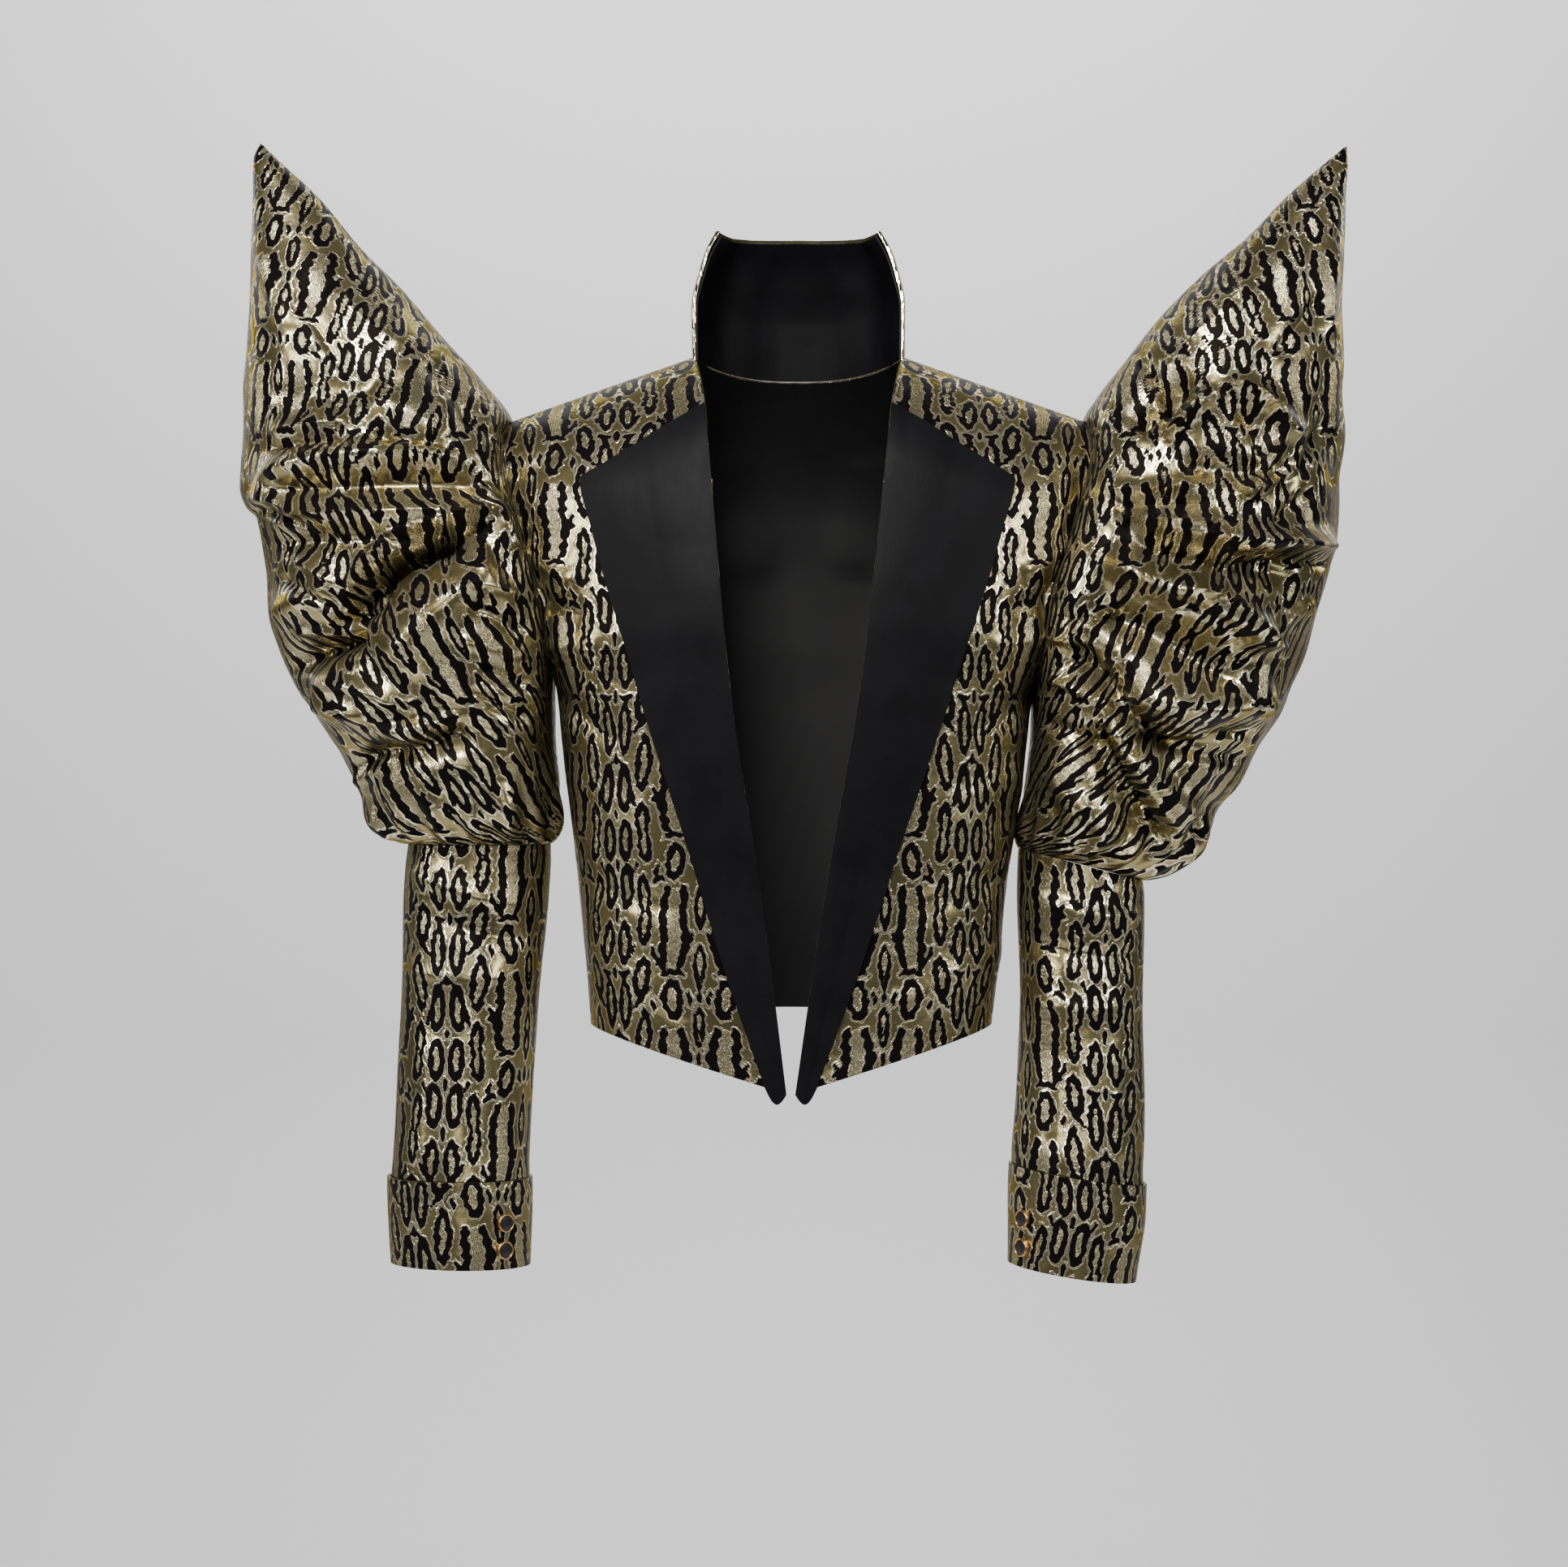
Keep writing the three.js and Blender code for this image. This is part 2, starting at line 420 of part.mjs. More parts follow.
// A front's outer sheet. hand is -1 for the wearer's right, 1 for the left. The first columns lie under the lapel.
function frontSheet(hand) {
  return rowPlaces(FRONT_ROWS, GORGE_ROW, FRONT_STEPS).map((t) => {
    const value = (column) => rowOf(FRONT_ROWS, t, column);
    const edge = [value("edgeX"), value("edgeZ")];
    const lapel = [value("lapelX"), value("lapelZ")];
    const side = [value("sideX"), value("sideZ")];
    const across = [];
    for (let c = 0; c <= FRONT_STEPS.lapel; c++) across.push([edge, lapel, c / FRONT_STEPS.lapel]);
    for (let c = 1; c <= FRONT_STEPS.side; c++) across.push([lapel, side, quarter(c / FRONT_STEPS.side)]);
    return across.map(([a, b, s]) => {
      const p = bodyPoint(lerp(a[0], b[0], s), lerp(a[1], b[1], s), -1);
      return p.setX(hand * (p.x - SWAY * p.z) + SWAY * p.z);
    });
  });
}

// Seam edges of a panel keep their normals square to Y, so that two panels meet face to face.
const seamEdges = (rows, sides) => (r, c) => (r === rows - 1 || sides.includes(c) ? "y" : null);

function addFront(name, hand, sleeve) {
  const sheet = frontSheet(hand);
  const normals = normalsOf(sheet, { turned: hand, flat: seamEdges(sheet.length, [sheet[0].length - 1]) });
  addPiece(`${name}_front`, wallBetween(sheet, moved(sheet, normals, -CLOTH)).subtract(sleeve), GOLD);
  const rows = FRONT_STEPS.below + 1;
  const laid = sheet.slice(0, rows).map((row) => row.slice(0, FRONT_STEPS.lapel + 1));
  const laidNormals = normals.slice(0, rows).map((row) => row.slice(0, FRONT_STEPS.lapel + 1));
  const under = moved(laid, laidNormals, SEAM);
  const over = moved(laid, laidNormals, SEAM + SATIN);
  for (const face of [under, over])
    face[0].forEach((p, c) => (p.z -= LAPEL_TIP * Math.sin((Math.PI * c) / FRONT_STEPS.lapel)));
  addPiece(`${name}_lapel`, wallBetween(over, under), BLACK_SATIN);
}

// The back's outer sheet, from the right side seam to the left one.
function backSheet() {
  return rowPlaces(BACK_ROWS, YOKE_ROW, BACK_STEPS).map((t) => {
    const value = (column) => rowOf(BACK_ROWS, t, column);
    const half = [];
    for (let c = 0; c <= BACK_STEPS.neck; c++) {
      const s = c / BACK_STEPS.neck;
      half.push([s * value("neckX"), lerp(value("midZ"), value("neckZ"), s ** NECKLINE_POWER)]);
    }
    for (let c = 1; c <= BACK_STEPS.side; c++) {
      const s = quarter(c / BACK_STEPS.side);
      half.push([lerp(value("neckX"), value("sideX"), s), lerp(value("neckZ"), value("sideZ"), s)]);
    }
    const other = half.slice(1).reverse().map(([x, z]) => [-x, z]);
    return [...other, ...half].map(([x, z]) => bodyPoint(x, z, 1));
  });
}

function addBack(sleeves) {
  const sheet = backSheet();
  const last = sheet[0].length - 1;
  const neck = [last / 2 - BACK_STEPS.neck, last / 2 + BACK_STEPS.neck];
  const flat = (r, c) => {
    const shoulder = r === sheet.length - 1 && (c <= neck[0] || c >= neck[1]);
    return shoulder || c === 0 || c === last ? "y" : null;
  };
  const normals = normalsOf(sheet, { turned: -1, flat });
  const trimmed = sleeves.reduce((solid, s) => solid.subtract(s), wallBetween(sheet, moved(sheet, normals, -CLOTH)));
  addPiece("back", trimmed, GOLD);
}

// The neckline under the collar, from the wearer's right front end round the back to the left one: the top rows of
// each front's free edge, and the back's top row between the shoulder seams.
function neckline() {
  const top = backSheet().pop();
  const middle = (top.length - 1) / 2;
  const behind = top.slice(middle - BACK_STEPS.neck, middle + BACK_STEPS.neck + 1);
  const before = (hand) =>
    frontSheet(hand)
      .slice(-1 - COLLAR_STEPS.front, -1)
      .map((row) => row[0]);
  return [...before(-1), ...behind, ...before(1).reverse()];
}

function addCollar() {
  const base = neckline();
  const n = base.length;
  const ends = base.map((_, i) => Math.abs((2 * i) / (n - 1) - 1));
  const outward = base.map((_, i) => {
    const step = base[Math.min(n - 1, i + 1)].clone().sub(base[Math.max(0, i - 1)]);
    return new THREE.Vector3(-step.y, step.x, 0).normalize();
  });
  const sheetAt = (offset) =>
    Array.from({ length: COLLAR_STEPS.up + 1 }, (_, r) => {
      const share = r / COLLAR_STEPS.up;
      const lean = along(COLLAR, COLLAR.map((row) => row.share), "out", share);
      return base.map((p, i) => {
        const top = lerp(COLLAR_TOP.back, COLLAR_TOP.front, ends[i]);
        const q = p.clone().addScaledVector(outward[i], lean + offset);
        q.z = lerp(p.z + SEAM, top, share);
        q.y += COLLAR_RAKE * share * ends[i] ** 4;
        return q;
      });
    });
  addPiece("collar", wallBetween(sheetAt(CLOTH), sheetAt(0)), GOLD);
  addPiece("collar_facing", wallBetween(sheetAt(-SEAM), sheetAt(-SEAM - FACING)), BLACK_SATIN);
}

// How far a point of an upper sleeve is moved out by its folds.
function foldLift(folds, p, facing) {
  let lift = 0;
  for (const f of folds) {
    if (f.side * p.y < 0) continue;
    let near = Infinity;
    for (let i = 0; i <= BEZIER_STEPS; i++) {
      const t = i / BEZIER_STEPS;
      const x = f.x0 * (1 - t) ** 2 + 2 * f.xm * t * (1 - t) + f.x1 * t * t;
      const z = f.z0 * (1 - t) ** 2 + 2 * f.zm * t * (1 - t) + f.z1 * t * t;
      near = Math.min(near, Math.hypot(p.x - x, p.z - z));
    }
    lift += f.height * Math.exp(-((near / f.width) ** 2)) * facing;
  }
  return lift;
}

// A ring through an outermost and an innermost point. turn 0 is outermost, 90 in front, 180 innermost.
function ringPoint(row, turn) {
  const [c, s] = [Math.cos(turn), Math.sin(turn)];
  const power = 2 / (c < 0 ? row.square ?? 2 : 2);
  const across = Math.sign(c) * Math.abs(c) ** power;
  const deep = Math.sign(s) * Math.abs(s) ** power;
  const [x, z] = [lerp(row.inX, row.outX, (1 + across) / 2), lerp(row.inZ, row.outZ, (1 + across) / 2)];
  return new THREE.Vector3(x, (row.middle ?? 0) - deep * (deep > 0 ? row.front : row.back), z);
}

// A ring of points evenly spaced along its length, starting from the outermost one.
function evenRing(row, count) {
  const fine = Array.from({ length: RING_SAMPLES + 1 }, (_, i) => ringPoint(row, (2 * Math.PI * i) / RING_SAMPLES));
  const lengths = [0];
  for (let i = 1; i <= RING_SAMPLES; i++) lengths.push(lengths[i - 1] + fine[i].distanceTo(fine[i - 1]));
  const step = lengths[RING_SAMPLES] / count;
  return Array.from({ length: count }, (_, c) => {
    const i = clamp(lengths.findIndex((length) => length > c * step), 1, RING_SAMPLES);
    const part = (c * step - lengths[i - 1]) / Math.max(lengths[i] - lengths[i - 1], Number.EPSILON);
    return fine[i - 1].clone().lerp(fine[i], clamp(part, 0, 1));
  });
}

const ringSheet = (table, count) => table.map((row) => evenRing(row, count));

// An upper sleeve's outer sheet, with its folds and the gathers above the elbow seam.
function puffSheet(table, folds, hand) {
  const plain = ringSheet(table, PUFF_AROUND);
  const normals = normalsOf(plain, { around: true, turned: hand });
  const elbow = table[table.length - 1];
  return plain.map((row, r) =>
    row.map((p, c) => {
      if (r === 0) return p;
      const turn = (2 * Math.PI * c) / PUFF_AROUND;
      const facing = clamp(Math.abs(normals[r][c].y) * FOLD_FACING, 0, 1);
      const above = p.z - lerp(elbow.inZ, elbow.outZ, (1 + Math.cos(turn)) / 2);
      const rise = clamp(above / GATHERS.reach, 0, 1);
      const gather = GATHERS.height * Math.sin(Math.PI * rise) * Math.cos(GATHERS.count * turn);
      return p.clone().addScaledVector(normals[r][c], foldLift(folds, p, facing) + gather);
    }),
  );
}

// The way through an armhole: the body's section at the sleeve, a little inside its wall, drawn out along X.
function armTunnel(hand) {
  const depthAt = ({ x, z }, side) => side * Math.max(1, Math.abs(bodyPoint(x, z, side).y) - ARMHOLE_INSET);
  const outline = [
    ...ARMHOLE.map((row) => [depthAt(row, -1), row.z]),
    ...ARMHOLE.slice().reverse().map((row) => [depthAt(row, 1), row.z]),
  ];
  const shape = new THREE.Shape(outline.map(([y, z]) => new THREE.Vector2(y, z)));
  const { from, to } = ARM_TUNNEL;
  const prism = new THREE.ExtrudeGeometry(shape, { depth: to - from, bevelEnabled: false, steps: 1 });
  prism.rotateX(Math.PI / 2);
  prism.rotateZ(Math.PI / 2);
  prism.translate(hand > 0 ? from : -to, 0, 0);
  return solidOfGeometry(prism);
}

// A closed three.js geometry as a solid, its shared vertices merged.
function solidOfGeometry(geometry) {
  const flat = geometry.index ? geometry.toNonIndexed() : geometry;
  const position = flat.getAttribute("position");
  const seen = new Map();
  const vertices = [];
  const order = [];
  for (let i = 0; i < position.count; i++) {
    const p = new THREE.Vector3().fromBufferAttribute(position, i);
    const key = [p.x, p.y, p.z].map((v) => Math.round(v * 1e4)).join();
    if (!seen.has(key)) seen.set(key, vertices.push(p) - 1);
    order.push(seen.get(key));
  }
  const triangles = [];
  for (let i = 0; i < order.length; i += 3) {
    const [a, b, c] = order.slice(i, i + 3);
    if (a !== b && b !== c && c !== a) triangles.push([a, b, c]);
  }
  return solidFrom(vertices, triangles);
}

// Adds an upper sleeve and returns its filled shape, a seam's width larger, which trims the body panels.
function addPuff(name, table, folds, hand) {
  const sheet = puffSheet(table, folds, hand);
  const normals = normalsOf(sheet, { around: true, turned: hand });
  normals[0].forEach((n) => n.set(0, 0, 1));
  normals[normals.length - 1].forEach((n) => n.setZ(0).normalize());
  const inner = moved(sheet, normals, -CLOTH);
  inner[0].forEach((p) => p.copy(sheet[0][0]).setZ(sheet[0][0].z - HORN_TIP));
  const shell = wallBetween(sheet, inner, { around: true, pole: true });
  addPiece(`${name}_puff`, shell.subtract(armTunnel(hand)), GOLD);
  return filled(moved(sheet, normals, SEAM));
}

function addTube(name, table, hand) {
  const sheet = ringSheet(table, TUBE_AROUND);
  const normals = normalsOf(sheet, { around: true, turned: hand });
  for (const end of [0, table.length - 1]) normals[end].forEach((n) => n.setZ(0).normalize());
  addPiece(name, wallBetween(sheet, moved(sheet, normals, -CLOTH), { around: true }), GOLD);
}

// A button: a turned disc with a raised rim, standing a seam's width off the cuff.
function addButton({ name, cuff, turn, z }) {
  const table = cuff === "right" ? RIGHT_CUFF : LEFT_CUFF;
  const { radius, thick, rim, rimRise, facets } = BUTTON;
  const profile = [
    [0, 0],
    [radius - 0.6, 0],
    [radius, 0.8],
    [radius, thick],
    [radius - 0.5, thick + rimRise],
    [radius - rim, thick + rimRise],
    [radius - rim - 0.4, thick],
    [0, thick],
  ].map(([r, h]) => new THREE.Vector2(r, h));
  const disc = new THREE.LatheGeometry(profile, facets);
  disc.rotateX(Math.PI / 2);
  const heights = table.map((row) => -(row.outZ + row.inZ) / 2);
  const row = Object.fromEntries(
    ["outX", "inX", "front", "back", "middle"].map((key) => [key, along(table, heights, key, -z)]),
  );
  const at = (angle) => ringPoint({ ...row, outZ: z, inZ: z }, (angle * Math.PI) / 180);
  const place = at(turn);
  const step = at(turn + 1).sub(at(turn - 1));
  const out = new THREE.Vector3(-step.y, step.x, 0).normalize();
  if (out.y > 0) out.negate();
  const turned = new THREE.Quaternion().setFromUnitVectors(new THREE.Vector3(0, 0, 1), out);
  disc.applyQuaternion(turned);
  disc.translate(...place.clone().addScaledVector(out, SEAM).toArray());
  addPiece(name, solidOfGeometry(disc), BUTTON_GOLD);
}

const rightSleeve = addPuff("right", RIGHT_PUFF, RIGHT_FOLDS, -1);
const leftSleeve = addPuff("left", LEFT_PUFF, LEFT_FOLDS, 1);
addFront("right", -1, rightSleeve);
addFront("left", 1, leftSleeve);
addBack([rightSleeve, leftSleeve]);
addCollar();
addTube("right_sleeve", RIGHT_SLEEVE, -1);
addTube("left_sleeve", LEFT_SLEEVE, 1);
addTube("right_cuff", RIGHT_CUFF, -1);
addTube("left_cuff", LEFT_CUFF, 1);
BUTTON_ROWS.forEach(addButton);

export default jacket;
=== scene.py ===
"""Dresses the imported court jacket: jacquard cloth with its creases, satin lapels, lining, cuffs and buttons.

Tables are in millimetres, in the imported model's frame: +Z up, the front faces -Y, +X is the wearer's left.
"""

import json
import math

import bpy
import numpy as np
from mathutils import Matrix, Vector

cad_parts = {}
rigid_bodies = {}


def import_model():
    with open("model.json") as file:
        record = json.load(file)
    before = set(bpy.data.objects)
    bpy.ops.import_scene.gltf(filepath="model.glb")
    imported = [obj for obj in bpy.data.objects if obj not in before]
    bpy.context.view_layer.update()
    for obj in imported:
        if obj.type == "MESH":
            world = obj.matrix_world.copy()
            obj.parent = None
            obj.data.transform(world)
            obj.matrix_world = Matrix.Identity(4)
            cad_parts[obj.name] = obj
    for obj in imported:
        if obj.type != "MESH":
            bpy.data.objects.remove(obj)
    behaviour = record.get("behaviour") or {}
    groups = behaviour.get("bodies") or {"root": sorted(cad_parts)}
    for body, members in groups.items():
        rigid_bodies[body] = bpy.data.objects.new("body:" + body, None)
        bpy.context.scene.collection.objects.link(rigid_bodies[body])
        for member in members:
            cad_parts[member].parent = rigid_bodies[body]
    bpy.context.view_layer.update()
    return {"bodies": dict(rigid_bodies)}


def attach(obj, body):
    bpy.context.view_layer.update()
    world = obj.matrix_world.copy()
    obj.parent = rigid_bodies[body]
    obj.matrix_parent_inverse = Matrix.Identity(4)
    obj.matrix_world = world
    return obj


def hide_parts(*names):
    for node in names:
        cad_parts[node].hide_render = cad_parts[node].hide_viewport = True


bl_info = {
    "name": "Court Jacket",
    "version": (1, 0, 0),
    "blender": (4, 5, 0),
    "location": "View3D > Sidebar > Jacket",
    "description": "Makes the cloth, lapels, cuffs and buttons of a cropped court jacket over its packed model",
    "category": "Add Mesh",
}

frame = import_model()
BODY = next(iter(frame["bodies"]))

MM = 0.001


def table(names, *rows):
    """Columns of a table as arrays, by name."""
    return dict(zip(names.split(), np.array(rows, float).T))


def each_row(columns):
    """The rows of a table in turn, each as its values by name."""
    for values in zip(*columns.values()):
        yield dict(zip(columns, values))


# ------------------------------------------------------------------------------------------------ the cut

# Walls and seams. SWAY is how far the jacket's middle moves to the wearer's left for each millimetre up.
CLOTH, SATIN, FACING, SEAM, HALF_SEAM = 2.0, 1.5, 1.0, 0.3, 0.2
SWAY = 0.011
NECK_HALF, SHOULDER_HALF, SHOULDER_DROP, NECK_RISE = 74.0, 204.0, 46.0, 41.0
CHEST_ROUND, FRONT_ROLL, BACK_ROLL, BACK_ROLL_LOSS, NECKLINE_POWER = 2.5, 85.0, 150.0, 50.0, 2.5
# Rows of FRONT_ROWS and BACK_ROWS: where the lapel ends, where the back starts to turn over, the shoulder seam.
GORGE_ROW, YOKE_ROW, SHOULDER_ROW = 7, 7, 9.0
LAPEL_TIP = 9.0
COLLAR_TOP_FRONT, COLLAR_TOP_BACK, COLLAR_RAKE = 90.0, 92.0, 22.0
ARMHOLE_INSET, ARMHOLE_NEAR, ARMHOLE_FAR, HORN_TIP = 3.5, 150.0, 221.0, 8.0
# Folds fade where the cloth faces sideways: their share is this many times its normal's Y, at most 1.
FOLD_FACING = 1.6
# How many times its table's height each set of folds has, and the share of a narrow ridge in it.
FOLD_GAIN, FOLD_CREST = 1.15, 0.5
CREASE_GAIN, CREASE_CREST = 2.2, 0.8
BODY_GAIN, BODY_CREST = 1.4, 0.4
TUBE_GAIN, TUBE_CREST = 1.5, 0.5
GATHER_GAIN, GATHER_HOLLOW, GATHER_HOLLOW_HIGH = 1.45, 2.2, 40

# Grid steps between a wall's fine outer face and its coarse inner one, and the points of the finest grids.
PANEL_STEP, PUFF_STEP, TRIM_STEP = 4, 6, 4
PUFF_ROWS, PUFF_COLUMNS = 253, 354
LAPEL_ROWS, LAPEL_COLUMNS = 161, 33
COLLAR_ROWS, COLLAR_COLUMNS = 57, 201

# Seed, size and height of the body's unevenness, which the lapels follow, and the cells it takes to fade in from an
# edge.
BODY_WAVES, EDGE_FADE = (7, 70, 0.7), 9
# Where the motif starts on the fronts, the back and the collar, and the length of the satin's own places.
FRONT_START, BACK_START, COLLAR_START, SATIN_ACROSS, SATIN_DOWN = 9, 40, 200, 60, 70
# The least area of a cut as a share of its width times its length.
LEAST_SHARE = 0.32

TORSO = table(
    "z half front back",
    (-545, 139, 96, 84),
    (-475, 143, 100, 88),
    (-400, 150.5, 105, 92),
    (-335, 158, 112, 98),
    (-265, 167, 118, 106),
    (-235, 171, 120, 110),
    (-205, 184, 120, 113),
    (-176, 192, 117, 116),
    (-150, 199, 112, 117),
    (-112, 210, 103, 116),
    (-77, 222, 91, 112),
    (-46, 232, 80, 106),
    (0, 240, 62, 95),
)
FRONT_ROWS = table(
    "edge_x edge_z lapel_x lapel_z side_x side_z",
    (3, -519, 18, -514, 143, -475),
    (15.5, -426, 48, -428, 150.5, -400),
    (29, -337, 77, -335, 158, -335),
    (41, -265, 103, -255, 167, -265),
    (48, -210, 116, -213, 171, -235),
    (54, -150, 130, -170, 182, -190),
    (60, -88, 141, -130, 192, -150),
    (65, -41, 150, -93, 203, -112),
    (69, -20, 149, -58, 213, -80),
    (74, 0, 146, -25.5, 212, -48.8),
)
BACK_ROWS = table(
    "mid_z neck_x neck_z side_x side_z",
    (-470, 50, -472, 143, -475),
    (-400, 53, -400, 150.5, -400),
    (-335, 57, -335, 158, -335),
    (-265, 61, -265, 167, -265),
    (-215, 64, -215, 171, -235),
    (-160, 67, -160, 182, -190),
    (-105, 69, -105, 192, -150),
    (-60, 72, -50, 203, -112),
    (-28, 73, -20, 213, -80),
    (-10, 74, 0, 212, -48.8),
)
COLLAR = table("share out", (0, 0), (0.4, 0.5), (0.7, -5), (0.85, -9.5), (1, -17))
RINGS = "out_x out_z in_x in_z front back square"
RIGHT_PUFF = table(
    RINGS,
    (-385, 153, -384, 153, 0, 0, 2),
    (-390, 140, -371, 140, 10, 10, 2),
    (-391, 113, -342, 113, 24, 24, 2),
    (-391.5, 78, -313, 78, 40, 40, 2),
    (-392, 49, -284, 49, 52, 52, 2),
    (-393, 15, -255, 15, 66, 66, 2),
    (-394, -17, -226, -17, 77, 77, 2.2),
    (-395, -46, -205, -46, 85, 85, 3),
    (-395, -62, -208, -62, 88, 88, 3.8),
    (-396, -77, -207, -77, 92, 90, 4.3),
    (-397, -93, -203, -93, 95, 92, 4.5),
    (-393, -107, -200, -107, 96, 94, 4.5),
    (-385, -116, -197, -116, 96, 95, 4.5),
    (-381, -128, -193, -128, 98, 95, 4.5),
    (-378, -151, -186, -151, 100, 96, 4.5),
    (-375, -186, -177, -186, 99, 95, 4.3),
    (-369, -209, -175, -209, 97, 94, 4),
    (-356, -238, -175, -238, 95, 92, 3.4),
    (-347, -252, -174.5, -252, 92, 90, 3),
    (-336, -270, -174, -270, 89, 87, 2.6),
    (-324, -290, -172.5, -290, 84, 82, 2.4),
    (-317, -303, -171, -303, 80, 78, 2.3),
    (-310, -319, -170.5, -319, 74, 72, 2.2),
    (-304, -333, -172, -332, 67, 66, 2.1),
    (-288, -343, -175, -342, 58, 58, 2),
    (-279, -348, -177, -348, 52, 52, 2),
)
LEFT_PUFF = table(
    RINGS,
    (392, 151, 391, 151, 0, 0, 2),
    (393, 136, 373, 136, 10, 10, 2),
    (391, 114, 348, 114, 22, 22, 2),
    (390, 86, 321, 86, 37, 37, 2),
    (389, 60, 290, 60, 50, 50, 2),
    (388, 28, 258, 28, 62, 62, 2),
    (388, -5, 232, -5, 74, 74, 2.2),
    (387, -28, 214, -28, 80, 80, 2.5),
    (387, -46, 204, -46, 85, 85, 3),
    (387, -62, 206, -62, 88, 88, 3.8),
    (387, -77, 205, -77, 92, 90, 4.3),
    (387, -94, 200.5, -94, 95, 92, 4.5),
    (386, -115, 194, -115, 97, 94, 4.5),
    (385, -136, 187, -136, 99, 95, 4.5),
    (381, -151, 181, -151, 100, 96, 4.5),
    (371, -181, 172, -181, 100, 96, 4.3),
    (362, -211, 168.5, -211, 97, 94, 4),
    (353, -236, 167.2, -236, 95, 92, 3.4),
    (344, -256, 167, -253, 92, 90, 3),
    (330, -278, 166, -272, 88, 86, 2.6),
    (311, -307, 163, -297, 80, 78, 2.4),
    (298, -323, 161, -311, 75, 73, 2.2),
    (295, -336, 160, -322, 69, 67, 2.2),
    (289, -349, 159, -333, 63, 61, 2.1),
    (266, -364, 158, -344, 55, 54, 2),
    (246, -374, 157, -351, 47, 47, 2),
)
ARMHOLE = table(
    "x z", (171, -231), (172, -215), (175, -179), (184, -150), (195, -117), (206, -77), (206, -60), (204, -51)
)
TUBES = "out_x out_z in_x in_z front back middle"
RIGHT_SLEEVE = table(
    TUBES,
    (-279, -348.3, -177, -348.3, 52, 52, 0),
    (-283, -402, -180, -402, 51, 51, -3),
    (-284, -470, -186, -470, 49, 49, -8),
    (-286, -524, -190, -524, 48, 48, -13),
    (-289, -582, -191, -583, 48, 48, -18),
)
LEFT_SLEEVE = table(
    TUBES,
    (246, -374.3, 157, -351.3, 47, 47, 0),
    (246, -412, 155, -396, 47, 47, -3),
    (245, -470, 157, -458, 47, 47, -8),
    (245, -524, 155, -512, 47, 47, -13),
    (244.5, -588, 151, -573, 48, 48, -18),
)
RIGHT_CUFF = table(
    TUBES,
    (-292, -582.6, -189, -583.6, 50, 50, -18),
    (-291.5, -602, -188.5, -603, 50, 50, -19),
    (-289, -643, -190, -645, 48, 48, -22),
)
LEFT_CUFF = table(
    TUBES,
    (247, -588.6, 149, -573.6, 50, 50, -18),
    (246.5, -610, 148.5, -594, 50, 50, -19),
    (239, -657, 148, -643, 47, 47, -22),
)

# Large folds, then the creases that lie on them: a curved line seen from the front (side -1) or the back (side 1),
# its half width and its height, negative for a trough, and how much steeper it is on one flank.
FOLDS = "side x0 z0 xm zm x1 z1 width height lean"
RIGHT_FOLDS = table(
    FOLDS,
    (-1, -380, -92, -320, -74, -228, -80, 8, 9, 0.2),
    (-1, -380, -104, -300, -96, -205, -97, 9, -10, 0),
    (-1, -380, -117, -290, -118, -204, -116, 8, 9, -0.2),
    (-1, -372, -136, -310, -140, -232, -128, 9, -9, 0),
    (-1, -226, -134, -275, -146, -322, -198, 12, -29, 0.35),
    (-1, -205, -152, -246, -176, -288, -226, 22, 17, 0),
    (-1, -362, -226, -330, -214, -298, -204, 10, -20, 0.2),
    (-1, -370, -188, -348, -180, -322, -168, 13, 8, 0),
    (-1, -345, -245, -300, -248, -250, -284, 15, 14, 0.2),
    (-1, -318, -294, -270, -284, -220, -268, 9, -14, 0),
    (-1, -228, -184, -208, -190, -188, -202, 7, -7, 0),
    (-1, -222, -226, -202, -230, -182, -240, 7, -7, 0),
    (-1, -372, -40, -330, -28, -262, -30, 16, -5, 0),
    (1, -380, -100, -300, -88, -210, -96, 10, 8, 0.2),
    (1, -378, -124, -300, -112, -206, -118, 10, -8, 0),
    (1, -370, -160, -300, -142, -200, -150, 14, 11, 0.2),
    (1, -362, -198, -290, -184, -200, -182, 11, -12, 0),
    (1, -345, -236, -290, -214, -205, -214, 14, 11, 0.2),
    (1, -330, -270, -270, -256, -200, -252, 10, -11, 0),
)
